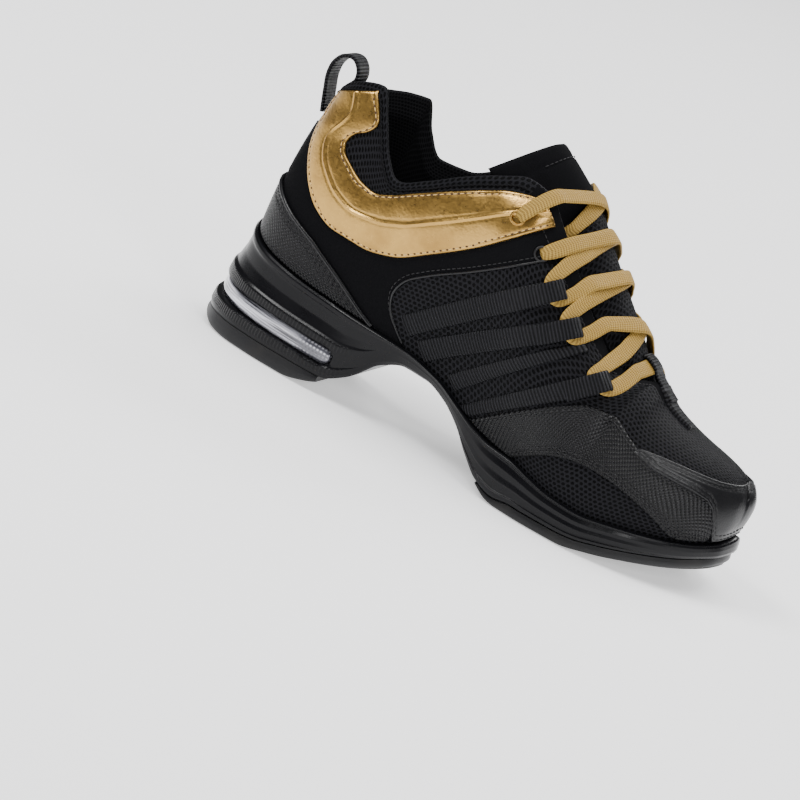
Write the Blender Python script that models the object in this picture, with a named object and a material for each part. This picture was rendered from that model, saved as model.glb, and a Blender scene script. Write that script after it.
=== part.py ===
# Dance sneaker for the right foot, standing on its heel and forefoot.
# Metres, +X to the toe, +Y to the inner side of the foot, +Z up.
# The origin is on the ground, under the middle of the heel's flat spot.

from collections import namedtuple

import bmesh
import bpy
import numpy as np

# Driving sizes
SOLE_LENGTH = 0.250
BALL_WIDTH = 0.0905
HEEL_HEIGHT = 0.040          # ground to the sole's rim beside the heel
COLLAR_HEIGHT = 0.125        # ground to the collar's highest point
HEEL_REST_SHARE = 0.136      # origin, as a share of the length from the heel's back
RIB_DEPTH = 0.0020           # unit of the steps in the sole's side
RIM_WALL = 0.0024
CUP_DEPTH = 0.0060
UPPER_WALL = 0.0020
COLLAR_PAD = 0.0034          # what the padding adds to the collar's wall
INSOLE_THICKNESS = 0.0030
HEEL_OUTSOLE_TOP = 0.0070
OUTSOLE_THICKNESS = 0.0042
TREAD_DEPTH = 0.0014
WINDOW_RECESS = 0.0030
WINDOW_DEPTH = 0.0016
OVERLAY_THICKNESS = 0.0010
STRAP_THICKNESS = 0.0009
TONGUE_THICKNESS = 0.0050
LACE_WIDTH = 0.0068
LACE_THICKNESS = 0.0014
LOOP_WIDTH = 0.0130
LOOP_THICKNESS = 0.0016
LOOP_HEIGHT = 0.0145         # how far the pull loop stands above the collar
BACK_STRIP_WIDTH = 0.0150
BACK_STRIP_LOW = 0.566       # shares of COLLAR_HEIGHT
BACK_STRIP_HIGH = 0.775
BAND_SPREAD = 0.105          # half the gap between the gold bands at the back, in BALL_WIDTH
CLEARANCE = 0.0003

STATIONS = 28                # stations from the heel's back to the toe, on each side
THROAT_END = 21              # station where the throat closes into the vamp
HEEL_OUTSOLE_END = 9
FOREFOOT_OUTSOLE_START = 17
WINDOW_END = 9

# "around" runs along the sole's edge, 0 at the heel's back and 1 at the toe.
# Lengths along are shares of SOLE_LENGTH, across of BALL_WIDTH.
Plan = namedtuple("Plan", "around along shift half")
SOLE_PLAN = (
    Plan(0.00, 0.000, 0.000, 0.000),
    Plan(0.04, 0.005, 0.000, 0.105),
    Plan(0.08, 0.020, 0.000, 0.201),
    Plan(0.13, 0.050, 0.000, 0.287),
    Plan(0.18, 0.096, 0.000, 0.345),
    Plan(0.24, 0.164, -0.003, 0.367),
    Plan(0.32, 0.264, -0.017, 0.358),
    Plan(0.40, 0.360, -0.035, 0.340),
    Plan(0.48, 0.452, -0.044, 0.347),
    Plan(0.56, 0.544, -0.046, 0.392),
    Plan(0.64, 0.632, -0.040, 0.455),
    Plan(0.71, 0.708, -0.024, 0.495),
    Plan(0.77, 0.772, -0.007, 0.500),
    Plan(0.83, 0.836, 0.018, 0.464),
    Plan(0.88, 0.892, 0.042, 0.402),
    Plan(0.925, 0.940, 0.062, 0.315),
    Plan(0.955, 0.970, 0.075, 0.227),
    Plan(0.98, 0.992, 0.085, 0.125),
    Plan(1.00, 1.000, 0.088, 0.000),
)

# Height of the sole's lower face, as a share of HEEL_HEIGHT.
Ground = namedtuple("Ground", "along height")
GROUND = (
    Ground(0.000, 0.125),
    Ground(0.016, 0.055),
    Ground(0.048, 0.008),
    Ground(0.072, 0.000),
    Ground(0.200, 0.000),
    Ground(0.246, 0.060),
    Ground(0.280, 0.160),
    Ground(0.314, 0.345),
    Ground(0.345, 0.570),
    Ground(0.380, 0.700),
    Ground(0.416, 0.725),
    Ground(0.456, 0.670),
    Ground(0.496, 0.555),
    Ground(0.532, 0.390),
    Ground(0.568, 0.220),
    Ground(0.600, 0.085),
    Ground(0.630, 0.010),
    Ground(0.645, 0.000),
    Ground(0.765, 0.000),
    Ground(0.820, 0.045),
    Ground(0.880, 0.125),
    Ground(0.940, 0.220),
    Ground(0.980, 0.305),
    Ground(1.000, 0.370),
)

# Height of the rim as a share of HEEL_HEIGHT, cup depth as a share of CUP_DEPTH,
# and how much of each kind of side wall a station has.
Rim = namedtuple("Rim", "around height cup heel arch fore back")
SOLE_RIM = (
    Rim(0.00, 1.210, 1.10, 1.0, 0.0, 0.0, 1.0),
    Rim(0.05, 1.190, 1.10, 1.0, 0.0, 0.0, 0.9),
    Rim(0.10, 1.130, 1.05, 1.0, 0.0, 0.0, 0.5),
    Rim(0.16, 1.050, 1.00, 1.0, 0.0, 0.0, 0.1),
    Rim(0.22, 0.985, 1.00, 1.0, 0.0, 0.0, 0.0),
    Rim(0.28, 0.940, 1.00, 1.0, 0.0, 0.0, 0.0),
    Rim(0.34, 0.915, 0.85, 0.6, 0.4, 0.0, 0.0),
    Rim(0.42, 0.900, 0.50, 0.0, 1.0, 0.0, 0.0),
    Rim(0.48, 0.825, 0.45, 0.0, 1.0, 0.0, 0.0),
    Rim(0.53, 0.690, 0.60, 0.0, 0.9, 0.1, 0.0),
    Rim(0.57, 0.585, 0.80, 0.0, 0.5, 0.5, 0.0),
    Rim(0.60, 0.540, 0.95, 0.0, 0.2, 0.8, 0.0),
    Rim(0.64, 0.530, 1.00, 0.0, 0.0, 1.0, 0.0),
    Rim(0.68, 0.475, 1.00, 0.0, 0.0, 1.0, 0.0),
    Rim(0.73, 0.410, 1.00, 0.0, 0.0, 1.0, 0.0),
    Rim(0.78, 0.390, 1.00, 0.0, 0.0, 1.0, 0.0),
    Rim(0.84, 0.430, 1.00, 0.0, 0.0, 1.0, 0.0),
    Rim(0.90, 0.485, 1.00, 0.0, 0.0, 1.0, 0.0),
    Rim(0.95, 0.550, 1.05, 0.0, 0.0, 1.0, 0.1),
    Rim(0.98, 0.620, 1.10, 0.0, 0.0, 1.0, 0.4),
    Rim(1.00, 0.675, 1.15, 0.0, 0.0, 1.0, 0.5),
)

# The side wall from its lower edge to the rim: how far each step stands back from
# the outline, in RIB_DEPTH, for the heel's stack, the arch and the forefoot.
Side = namedtuple("Side", "height heel arch fore window")
SIDE_WALL = (
    Side(0.000, 0.50, 3.00, 0.90, 0.0),
    Side(0.050, 0.10, 2.60, 0.30, 0.0),
    Side(0.165, 0.15, 2.00, 0.10, 0.0),
    Side(0.185, 0.50, 1.90, 0.55, 1.0),
    Side(0.400, 0.60, 1.40, 0.30, 1.0),
    Side(0.420, 0.55, 1.35, 0.20, 0.0),
    Side(0.540, 0.60, 1.10, 0.40, 0.0),
    Side(0.575, 1.10, 1.00, 0.45, 0.0),
    Side(0.720, 1.60, 0.80, 0.35, 0.0),
    Side(0.885, 1.75, 0.45, 0.75, 0.0),
    Side(0.915, 1.35, 0.30, 0.40, 0.0),
    Side(0.965, 1.30, 0.20, 0.30, 0.0),
    Side(1.000, 1.70, 0.60, 0.75, 0.0),
)
WINDOW_LOW = 3               # rows of SIDE_WALL between which the window lies
WINDOW_HIGH = 4
BACK_LEAN = 0.0024           # how far the rim stands in at the heel's back

# The upper's top edge, and from THROAT_END on the vamp's ridge, for the outer and
# the inner side.  Heights are shares of COLLAR_HEIGHT, half widths of BALL_WIDTH.
Top = namedtuple("Top", "around ridge out_along out_half out_height in_along in_half in_height")
UPPER_TOP = (
    Top(0.00, 0.000, 0.052, 0.000, 0.908, 0.052, 0.000, 0.908),
    Top(0.04, 0.000, 0.056, 0.088, 0.914, 0.056, 0.088, 0.910),
    Top(0.08, 0.000, 0.068, 0.155, 0.936, 0.068, 0.155, 0.918),
    Top(0.13, 0.000, 0.097, 0.207, 0.975, 0.097, 0.207, 0.934),
    Top(0.18, 0.000, 0.138, 0.232, 0.998, 0.136, 0.238, 0.958),
    Top(0.22, 0.000, 0.172, 0.262, 0.905, 0.166, 0.262, 0.966),
    Top(0.26, 0.000, 0.204, 0.293, 0.808, 0.192, 0.285, 0.868),
    Top(0.30, 0.000, 0.238, 0.318, 0.755, 0.226, 0.305, 0.795),
    Top(0.35, 0.000, 0.288, 0.335, 0.808, 0.278, 0.318, 0.804),
    Top(0.40, 0.000, 0.340, 0.342, 0.880, 0.332, 0.326, 0.868),
    Top(0.45, 0.000, 0.396, 0.331, 0.944, 0.392, 0.324, 0.940),
    Top(0.49, 0.000, 0.444, 0.315, 0.984, 0.442, 0.309, 0.976),
    Top(0.53, 0.000, 0.488, 0.298, 0.970, 0.488, 0.294, 0.966),
    Top(0.56, 0.000, 0.520, 0.287, 0.912, 0.520, 0.284, 0.912),
    Top(0.59, 0.001, 0.554, 0.277, 0.844, 0.554, 0.275, 0.844),
    Top(0.62, 0.002, 0.594, 0.266, 0.764, 0.594, 0.264, 0.764),
    Top(0.655, 0.003, 0.646, 0.252, 0.664, 0.646, 0.250, 0.664),
    Top(0.69, 0.004, 0.698, 0.228, 0.584, 0.698, 0.226, 0.584),
    Top(0.712, 0.005, 0.729, 0.185, 0.562, 0.729, 0.184, 0.562),
    Top(0.732, 0.006, 0.754, 0.112, 0.561, 0.754, 0.112, 0.561),
    Top(0.75, 0.007, 0.766, 0.000, 0.560, 0.766, 0.000, 0.560),
    Top(0.79, 0.014, 0.798, 0.000, 0.509, 0.798, 0.000, 0.509),
    Top(0.83, 0.025, 0.828, 0.000, 0.481, 0.828, 0.000, 0.481),
    Top(0.88, 0.044, 0.868, 0.000, 0.456, 0.868, 0.000, 0.456),
    Top(0.925, 0.062, 0.908, 0.000, 0.438, 0.908, 0.000, 0.438),
    Top(0.955, 0.075, 0.934, 0.000, 0.424, 0.934, 0.000, 0.424),
    Top(0.98, 0.084, 0.951, 0.000, 0.410, 0.951, 0.000, 0.410),
    Top(1.00, 0.088, 0.960, 0.000, 0.396, 0.960, 0.000, 0.396),
)

# How each section bends between the rim and the top edge: outward slope at the rim,
# handle lengths as shares of the section, and how far its top leans inward.
Bend = namedtuple("Bend", "around lean low high inward pad")
UPPER_BEND = (
    Bend(0.00, 0.03, 0.40, 0.35, 0.14, 1.0),
    Bend(0.10, 0.08, 0.40, 0.35, 0.16, 1.0),
    Bend(0.20, 0.10, 0.40, 0.35, 0.16, 1.0),
    Bend(0.30, 0.10, 0.40, 0.35, 0.14, 1.0),
    Bend(0.42, 0.12, 0.40, 0.38, 0.20, 1.0),
    Bend(0.50, 0.12, 0.38, 0.38, 0.36, 0.8),
    Bend(0.56, 0.12, 0.38, 0.38, 0.52, 0.1),
    Bend(0.62, 0.14, 0.36, 0.38, 0.72, 0.0),
    Bend(0.69, 0.16, 0.36, 0.38, 0.92, 0.0),
    Bend(0.75, 0.16, 0.40, 0.42, 1.00, 0.0),
    Bend(0.86, 0.16, 0.42, 0.46, 1.00, 0.0),
    Bend(0.93, 0.15, 0.44, 0.48, 1.00, 0.0),
    Bend(1.00, 0.12, 0.46, 0.50, 1.00, 0.0),
)
UPPER_LEVELS = (0.0, 0.15, 0.32, 0.50, 0.68, 0.85, 1.0)
OVERLAY_START = 0.014                          # level where overlays begin over the rim
PAD_LEVELS = (0.0, 0.45, 0.75, 0.90, 1.0)      # levels for PAD_SHARES
PAD_SHARES = (0.0, 0.15, 0.80, 1.00, 0.45)     # how much of COLLAR_PAD each level has

# The tongue from its lower end to its top: crest, half width and how far its
# sides fall and reach back.
Tongue = namedtuple("Tongue", "along height half fall back")
TONGUE = (
    Tongue(0.800, 0.480, 0.130, 0.030, 0.000),
    Tongue(0.768, 0.522, 0.165, 0.060, 0.000),
    Tongue(0.735, 0.588, 0.195, 0.110, 0.000),
    Tongue(0.700, 0.664, 0.220, 0.150, 0.000),
    Tongue(0.645, 0.768, 0.232, 0.165, 0.004),
    Tongue(0.590, 0.866, 0.238, 0.170, 0.012),
    Tongue(0.530, 0.985, 0.244, 0.175, 0.030),
    Tongue(0.480, 1.055, 0.246, 0.170, 0.055),
    Tongue(0.432, 1.108, 0.240, 0.165, 0.070),
)
TONGUE_ROWS = 12
TONGUE_COLUMNS = 8

# Overlays in side view: shares of SOLE_LENGTH and COLLAR_HEIGHT.
COUNTER_EDGE = (
    (-0.040, 0.560), (0.040, 0.552), (0.096, 0.516), (0.150, 0.480), (0.200, 0.446),
    (0.256, 0.386), (0.300, 0.312), (0.318, 0.260), (0.318, 0.180), (-0.040, 0.180),
)
COLLAR_BAND_EDGE = (
    (0.060, 0.800), (0.064, 0.740), (0.078, 0.660), (0.104, 0.590), (0.140, 0.538),
    (0.180, 0.514), (0.236, 0.511), (0.288, 0.534), (0.356, 0.618), (0.428, 0.726),
    (0.472, 0.810), (0.530, 0.900), (0.540, 0.985), (0.460, 1.040), (0.384, 0.889),
    (0.276, 0.764), (0.232, 0.705), (0.204, 0.696), (0.176, 0.716), (0.144, 0.762),
    (0.128, 0.815), (0.140, 0.862), (0.166, 0.890), (0.172, 1.060), (0.060, 1.060),
)
SIDE_OVERLAY_EDGE = (
    (0.528, 0.150), (0.536, 0.196), (0.586, 0.268), (0.636, 0.345), (0.680, 0.416),
    (0.716, 0.454), (0.748, 0.450), (0.794, 0.384), (0.836, 0.346), (0.880, 0.344),
    (0.920, 0.340), (0.944, 0.330), (0.956, 0.300), (0.960, 0.250), (0.960, 0.080),
    (0.926, 0.080), (0.916, 0.172), (0.880, 0.218), (0.844, 0.244), (0.792, 0.266),
    (0.744, 0.271), (0.708, 0.258), (0.676, 0.224), (0.640, 0.180), (0.610, 0.080),
    (0.560, 0.080),
)
# The smooth band round the toe's mesh, which reaches down to the rim at the toe.
TOE_BAND_EDGE = (
    (0.826, 0.380), (0.838, 0.389), (0.868, 0.389), (0.904, 0.386), (0.944, 0.384),
    (1.030, 0.384), (1.030, 0.080), (0.967, 0.080), (0.966, 0.290), (0.957, 0.336),
    (0.937, 0.351), (0.900, 0.356), (0.850, 0.362),
)

# Webbing bands in side view: where each starts at the sole and ends at the throat.
Strap = namedtuple("Strap", "name foot_high foot_low top_low top_high")
STRAPS = (
    Strap("1", (0.350, 0.382), (0.378, 0.332), (0.606, 0.722), (0.579, 0.780)),
    Strap("2", (0.394, 0.336), (0.422, 0.284), (0.655, 0.634), (0.632, 0.688)),
    Strap("3", (0.468, 0.290), (0.494, 0.256), (0.672, 0.604), (0.656, 0.625)),
    Strap("4", (0.512, 0.222), (0.524, 0.188), (0.737, 0.524), (0.708, 0.566)),
)

# Eyelets and webbing loops that hold the lace on each side, from the top down:
# the place around on the upper's top edge, and how far the lace clears that edge,
# in LACE_THICKNESS.
Eyelet = namedtuple("Eyelet", "around over")
EYELETS = (
    Eyelet(0.505, 2.6),
    Eyelet(0.560, 1.2),
    Eyelet(0.615, 0.4),
    Eyelet(0.652, 0.4),
    Eyelet(0.690, 0.4),
)
LACE_SEGMENTS = 7
LACE_OVER_TONGUE = 1.4       # in LACE_THICKNESS, to the middle of a strand
LACE_OVER_LACE = 0.7

# The webbing keeper on the vamp's ridge: shares along and half width across.
LACE_KEEPER = ((0.778, -0.055), (0.845, -0.038), (0.845, 0.038), (0.778, 0.055))

# Pull loop in side view, in LOOP_HEIGHT from the collar's top edge at the back.
PULL_LOOP = ((-0.44, -0.25), (-0.56, 0.20), (-0.54, 0.58), (-0.34, 0.88), (-0.02, 0.94),
             (0.22, 0.74), (0.30, 0.42))

# Treads: rings and grooves under the two outsole units, in plan.
HEEL_PAD = (0.135, 0.0, 0.062, 0.155)            # centre, then half length and half width
FORE_PAD = (0.735, -0.010, 0.060, 0.225)
GROOVE_WIDTH = 0.0016
TOE_LEAVES = ((0.900, -0.130, 0.020, 0.070), (0.918, 0.020, 0.020, 0.060),
              (0.928, 0.150, 0.016, 0.045))
HEEL_STUDS = ((0.045, 0.0), (0.060, 0.170), (0.060, -0.170), (0.115, 0.265), (0.115, -0.265),
              (0.180, 0.275), (0.180, -0.285))
STUD_RADIUS = 0.0034
FORE_GROOVES = ((0.655, -0.022), (0.855, 0.024))  # place along and sag, across the unit
FORE_GROOVE_HALF = 0.36

ORIGIN_SHIFT = np.array((HEEL_REST_SHARE * SOLE_LENGTH, 0.0, 0.0))


def clear_scene():
    for item in list(bpy.data.objects):
        bpy.data.objects.remove(item, do_unlink=True)


def smooth(knots, values, at):
    # Cubic through the knots whose slopes never overshoot a rise or a fall.
    knots = np.asarray(knots, float)
    values = np.asarray(values, float)
    at = np.asarray(at, float)
    steps = np.diff(knots)
    rises = np.diff(values) / steps
    slopes = np.zeros(len(knots))
    same = rises[:-1] * rises[1:] > 0.0
    before = 2.0 * steps[1:] + steps[:-1]
    after = steps[1:] + 2.0 * steps[:-1]
    safe = np.where(same, rises[:-1], 1.0)
    safe_next = np.where(same, rises[1:], 1.0)
    slopes[1:-1] = np.where(same, (before + after) / (before / safe + after / safe_next), 0.0)
    slopes[0] = rises[0]
    slopes[-1] = rises[-1]
    place = np.clip(np.searchsorted(knots, at, side="right") - 1, 0, len(steps) - 1)
    width = steps[place]
    share = (at - knots[place]) / width
    rest = 1.0 - share
    return (values[place] * (1.0 + 2.0 * share) * rest ** 2
            + slopes[place] * width * share * rest ** 2
            + values[place + 1] * (3.0 - 2.0 * share) * share ** 2
            - slopes[place + 1] * width * share ** 2 * rest)


def column(table, name):
    return np.array([getattr(row, name) for row in table])


def around_both(table, outer, inner, at):
    # Outer side at positive places, inner side at negative ones, closed at the toe.
    spots = column(table, "around")
    knots = np.concatenate((-spots[:0:-1], spots))
    values = np.concatenate((inner[:0:-1], outer))
    lap = np.concatenate((knots[:-1] - 2.0, knots[:-1], knots + 2.0))
    return smooth(lap, np.concatenate((values[:-1], values[:-1], values)), at)


def even(table, name, at):
    values = column(table, name)
    return around_both(table, values, values, at)


def plan_point(at):
    # Outline of the sole in plan: the outer side lies at negative Y.
    along = even(SOLE_PLAN, "along", at) * SOLE_LENGTH
    shift = even(SOLE_PLAN, "shift", at) * BALL_WIDTH
    half = column(SOLE_PLAN, "half") * BALL_WIDTH
    return np.stack((along, shift - around_both(SOLE_PLAN, half, -half, at)), axis=-1)


def plan_outward(at):
    # Unit vector that points out of the sole's outline.
    step = 0.004
    run = plan_point(np.asarray(at) + step) - plan_point(np.asarray(at) - step)
    out = np.stack((run[..., 1], -run[..., 0]), axis=-1)
    return out / np.linalg.norm(out, axis=-1, keepdims=True)


def inset_point(at, inset):
    return plan_point(at) - plan_outward(at) * np.asarray(inset)[..., None]


def ground_height(along):
    return smooth(column(GROUND, "along"), column(GROUND, "height"), along / SOLE_LENGTH) * HEEL_HEIGHT


def rim_height(at):
    return even(SOLE_RIM, "height", at) * HEEL_HEIGHT


def floor_height(at):
    return rim_height(at) - even(SOLE_RIM, "cup", at) * CUP_DEPTH


def side_inset(at, row, window=0.0):
    # How far a step of the side wall stands back from the outline.
    kinds = (even(SOLE_RIM, "heel", at) * row.heel + even(SOLE_RIM, "arch", at) * row.arch
             + even(SOLE_RIM, "fore", at) * row.fore)
    lean = even(SOLE_RIM, "back", at) * BACK_LEAN * row.height
    return kinds * RIB_DEPTH + lean + window * row.window * WINDOW_RECESS


def cup_inset(at):
    return side_inset(at, SIDE_WALL[-2]) + RIM_WALL


def outsole_top(at):
    # Upper face of the outsole units, which the midsole sits on.
    ground = ground_height(plan_point(at)[..., 0])
    spot = np.abs(at) * STATIONS
    share = np.interp(spot, (FOREFOOT_OUTSOLE_START, FOREFOOT_OUTSOLE_START + 2), (0.2, 1.0))
    return np.where(spot <= HEEL_OUTSOLE_END, HEEL_OUTSOLE_TOP, ground + share * OUTSOLE_THICKNESS)


def midsole_bottom(at):
    spot = np.abs(at) * STATIONS + 1e-6
    ground = ground_height(plan_point(at)[..., 0])
    free = (spot > HEEL_OUTSOLE_END + 0.5) & (spot < FOREFOOT_OUTSOLE_START - 0.5)
    return np.where(free, ground, outsole_top(at) + CLEARANCE)


def upper_foot(at):
    # Where a section of the upper leaves the rim.
    flat = inset_point(at, cup_inset(at) + CLEARANCE)
    return np.concatenate((flat, (rim_height(at) + CLEARANCE)[..., None]), axis=-1)


def upper_top(at):
    # Top edge of the upper, or the vamp's ridge past the throat.
    along = around_both(UPPER_TOP, column(UPPER_TOP, "out_along"), column(UPPER_TOP, "in_along"), at)
    side = around_both(UPPER_TOP, column(UPPER_TOP, "out_half"), -column(UPPER_TOP, "in_half"), at)
    height = around_both(UPPER_TOP, column(UPPER_TOP, "out_height"), column(UPPER_TOP, "in_height"), at)
    across = (even(UPPER_TOP, "ridge", at) - side) * BALL_WIDTH
    return np.stack((along * SOLE_LENGTH, across, height * COLLAR_HEIGHT), axis=-1)


def upper_point(at, level):
    # A section is a cubic from the rim to the top edge: it rises from the rim and
    # leans in at the top, level with the ridge where the vamp is closed.
    foot = upper_foot(at)
    top = upper_top(at)
    size = np.linalg.norm(top - foot, axis=-1, keepdims=True)
    out = plan_outward(at)
    closed = np.clip((np.abs(at) - 0.66) / 0.10, 0.0, 1.0)[..., None]
    inward = (top - foot)[..., :2]
    inward = inward / np.maximum(np.linalg.norm(inward, axis=-1, keepdims=True), 1e-6)
    inward = closed * inward - (1.0 - closed) * out
    inward = inward / np.linalg.norm(inward, axis=-1, keepdims=True)
    step = 0.006
    ridge_run = upper_top(at + step) - upper_top(at - step)
    fall = np.clip(ridge_run[..., 2] / np.where(np.abs(ridge_run[..., 0]) < 1e-5, 1.0, ridge_run[..., 0]),
                   -1.0, 1.0)
    fall = np.where(np.abs(at) > (THROAT_END + 0.5) / STATIONS, fall, 0.0)
    fall = np.where(np.abs(at) > 0.99, -0.55, fall)
    lean = even(UPPER_BEND, "lean", at)[..., None]
    amount = even(UPPER_BEND, "inward", at)[..., None]
    rise = 1.0 - amount[..., 0] + closed[..., 0] * fall * inward[..., 0]
    start = np.concatenate((out * lean, np.ones_like(lean)), axis=-1)
    finish = np.concatenate((inward * amount, rise[..., None]), axis=-1)
    start = start / np.linalg.norm(start, axis=-1, keepdims=True)
    finish = finish / np.linalg.norm(finish, axis=-1, keepdims=True)
    near = foot + start * size * even(UPPER_BEND, "low", at)[..., None]
    far = top - finish * size * even(UPPER_BEND, "high", at)[..., None]
    share = np.asarray(level)[..., None]
    rest = 1.0 - share
    return (foot * rest ** 3 + near * 3.0 * share * rest ** 2
            + far * 3.0 * share ** 2 * rest + top * share ** 3)


def upper_outward(at, level):
    # Unit normal of the upper's outer face.
    step = 0.004
    high = np.clip(level + step, 0.0, 1.0)
    low = np.clip(level - step, 0.0, 1.0)
    run = upper_point(at + step, level) - upper_point(at - step, level)
    climb = upper_point(at, high) - upper_point(at, low)
    normal = np.cross(run, climb)
    return normal / np.maximum(np.linalg.norm(normal, axis=-1, keepdims=True), 1e-9)


def wall_thickness(at, level):
    pad = even(UPPER_BEND, "pad", at) * np.interp(level, PAD_LEVELS, PAD_SHARES)
    return UPPER_WALL + pad * COLLAR_PAD


def material(name, color, roughness, metallic=0.0):
    made = bpy.data.materials.new(name)
    made.use_nodes = True
    shader = made.node_tree.nodes["Principled BSDF"]
    shader.inputs["Base Color"].default_value = (*color, 1.0)
    shader.inputs["Roughness"].default_value = roughness
    shader.inputs["Metallic"].default_value = metallic
    made.diffuse_color = (*color, 1.0)
    return made


def add_object(name, points, faces, look, collection):
    # One closed body from points in the shoe's own frame.
    mesh = bpy.data.meshes.new(name)
    placed = np.asarray(points, float) - ORIGIN_SHIFT
    mesh.from_pydata(placed.tolist(), [], faces)
    work = bmesh.new()
    work.from_mesh(mesh)
    bmesh.ops.remove_doubles(work, verts=work.verts, dist=1e-6)
    bmesh.ops.recalc_face_normals(work, faces=work.faces)
    work.to_mesh(mesh)
    work.free()
    if look is not None:
        mesh.materials.append(look)
    made = bpy.data.objects.new(name, mesh)
    collection.objects.link(made)
    return made


def add_cutter(name, points, faces, cutters):
    made = add_object(name, points, faces, None, cutters)
    made.hide_render = True
    made.display_type = "WIRE"
    return made


def boolean(target, cutter, operation):
    step = target.modifiers.new(cutter.name, "BOOLEAN")
    step.operation = operation
    step.object = cutter


def loft(name, rings, look, collection):
    # A closed skin over rings of points; a ring with no width is a tip and needs no cap.
    rings = np.asarray(rings, float)
    count, size = rings.shape[:2]
    faces = []
    for one in range(count - 1):
        for spot in range(size):
            near = one * size + spot
            far = one * size + (spot + 1) % size
            faces.append((near, far, far + size, near + size))
    for end in (0, count - 1):
        if np.ptp(rings[end][:, 1]) > 1e-6:
            faces.append(tuple(range(end * size, end * size + size)))
    return add_object(name, rings.reshape(-1, 3), faces, look, collection)


def sheet(name, upper_face, lower_face, look, collection):
    # A closed sheet between two grids of points.
    high = np.asarray(upper_face, float)
    low = np.asarray(lower_face, float)
    rows, columns = high.shape[:2]
    shift = rows * columns
    faces = []
    for row in range(rows - 1):
        for spot in range(columns - 1):
            ring = [row * columns + spot, row * columns + spot + 1,
                    (row + 1) * columns + spot + 1, (row + 1) * columns + spot]
            faces.append(ring)
            faces.append([index + shift for index in reversed(ring)])
    rim = [spot for spot in range(columns)]
    rim += [row * columns + columns - 1 for row in range(1, rows)]
    rim += [(rows - 1) * columns + spot for spot in range(columns - 2, -1, -1)]
    rim += [row * columns for row in range(rows - 2, 0, -1)]
    for one, two in zip(rim, rim[1:] + rim[:1]):
        faces.append([one, one + shift, two + shift, two])
    return add_object(name, np.concatenate((high.reshape(-1, 3), low.reshape(-1, 3))), faces, look,
                      collection)


def with_height(flat, height):
    height = np.broadcast_to(np.asarray(height, float), flat.shape[:-1])
    return np.concatenate((flat, height[..., None]), axis=-1)


def rungs(one, two, steps):
    # Points from one side to the other, without the ends.
    shares = np.linspace(0.0, 1.0, steps + 1)[1:-1]
    return [one + (two - one) * share for share in shares]


def midsole_rings(places):
    # One ring to a station: under the sole, up the inner side, across the cup, down the outer.
    low = midsole_bottom(places)
    high = rim_height(places)
    window = (np.abs(places) * STATIONS < WINDOW_END + 0.5).astype(float)
    walls = {}
    for sign in (1.0, -1.0):
        spots = places * sign
        wall = [with_height(inset_point(spots, side_inset(spots, row, window)),
                            low + (high - low) * row.height) for row in SIDE_WALL]
        wall.append(with_height(inset_point(spots, cup_inset(spots)), high))
        wall.append(with_height(inset_point(spots, cup_inset(spots)), floor_height(spots)))
        walls[sign] = wall
    rings = (rungs(walls[1.0][0], walls[-1.0][0], 4) + walls[-1.0]
             + rungs(walls[-1.0][-1], walls[1.0][-1], 4) + walls[1.0][::-1])
    return np.stack(rings, axis=1)


def slab_rings(places, insets, heights, steps):
    # Rings of a slab: insets and heights give its side wall from below to above.
    walls = {}
    for sign in (1.0, -1.0):
        spots = places * sign
        walls[sign] = [with_height(inset_point(spots, inset(spots)), height(spots))
                       for inset, height in zip(insets, heights)]
    rings = (rungs(walls[1.0][0], walls[-1.0][0], steps) + walls[-1.0]
             + rungs(walls[-1.0][-1], walls[1.0][-1], steps) + walls[1.0][::-1])
    return np.stack(rings, axis=1)


def outsole(name, first, last, look, collection):
    # A unit between the ground and the midsole, a little rounded at its lower edge.
    places = np.arange(first, last + 1) / STATIONS

    def ground_at(spots):
        return ground_height(plan_point(spots)[..., 0])

    def edge(share):
        return lambda spots: ground_at(spots) + (outsole_top(spots) - ground_at(spots)) * share

    insets = (lambda spots: side_inset(spots, SIDE_WALL[0]) + 0.5 * RIB_DEPTH,
              lambda spots: side_inset(spots, SIDE_WALL[0]) - 0.2 * RIB_DEPTH,
              lambda spots: side_inset(spots, SIDE_WALL[0]))
    rings = slab_rings(places, insets, (edge(0.0), edge(0.35), edge(1.0)), 4)
    return loft(name, rings, look, collection)


def ground_patch(name, outline, deep, cutters):
    # A cutter with the outline's shape that reaches a little into the sole's lower face.
    points = []
    for reach in (-TREAD_DEPTH, deep):
        for along, across in outline:
            points.append((along, across, float(ground_height(np.array(along))) + reach))
    count = len(outline)
    faces = [tuple(range(count)), tuple(range(2 * count - 1, count - 1, -1))]
    for one in range(count):
        two = (one + 1) % count
        faces.append((one, two, two + count, one + count))
    return add_cutter(name, points, faces, cutters)


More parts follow.
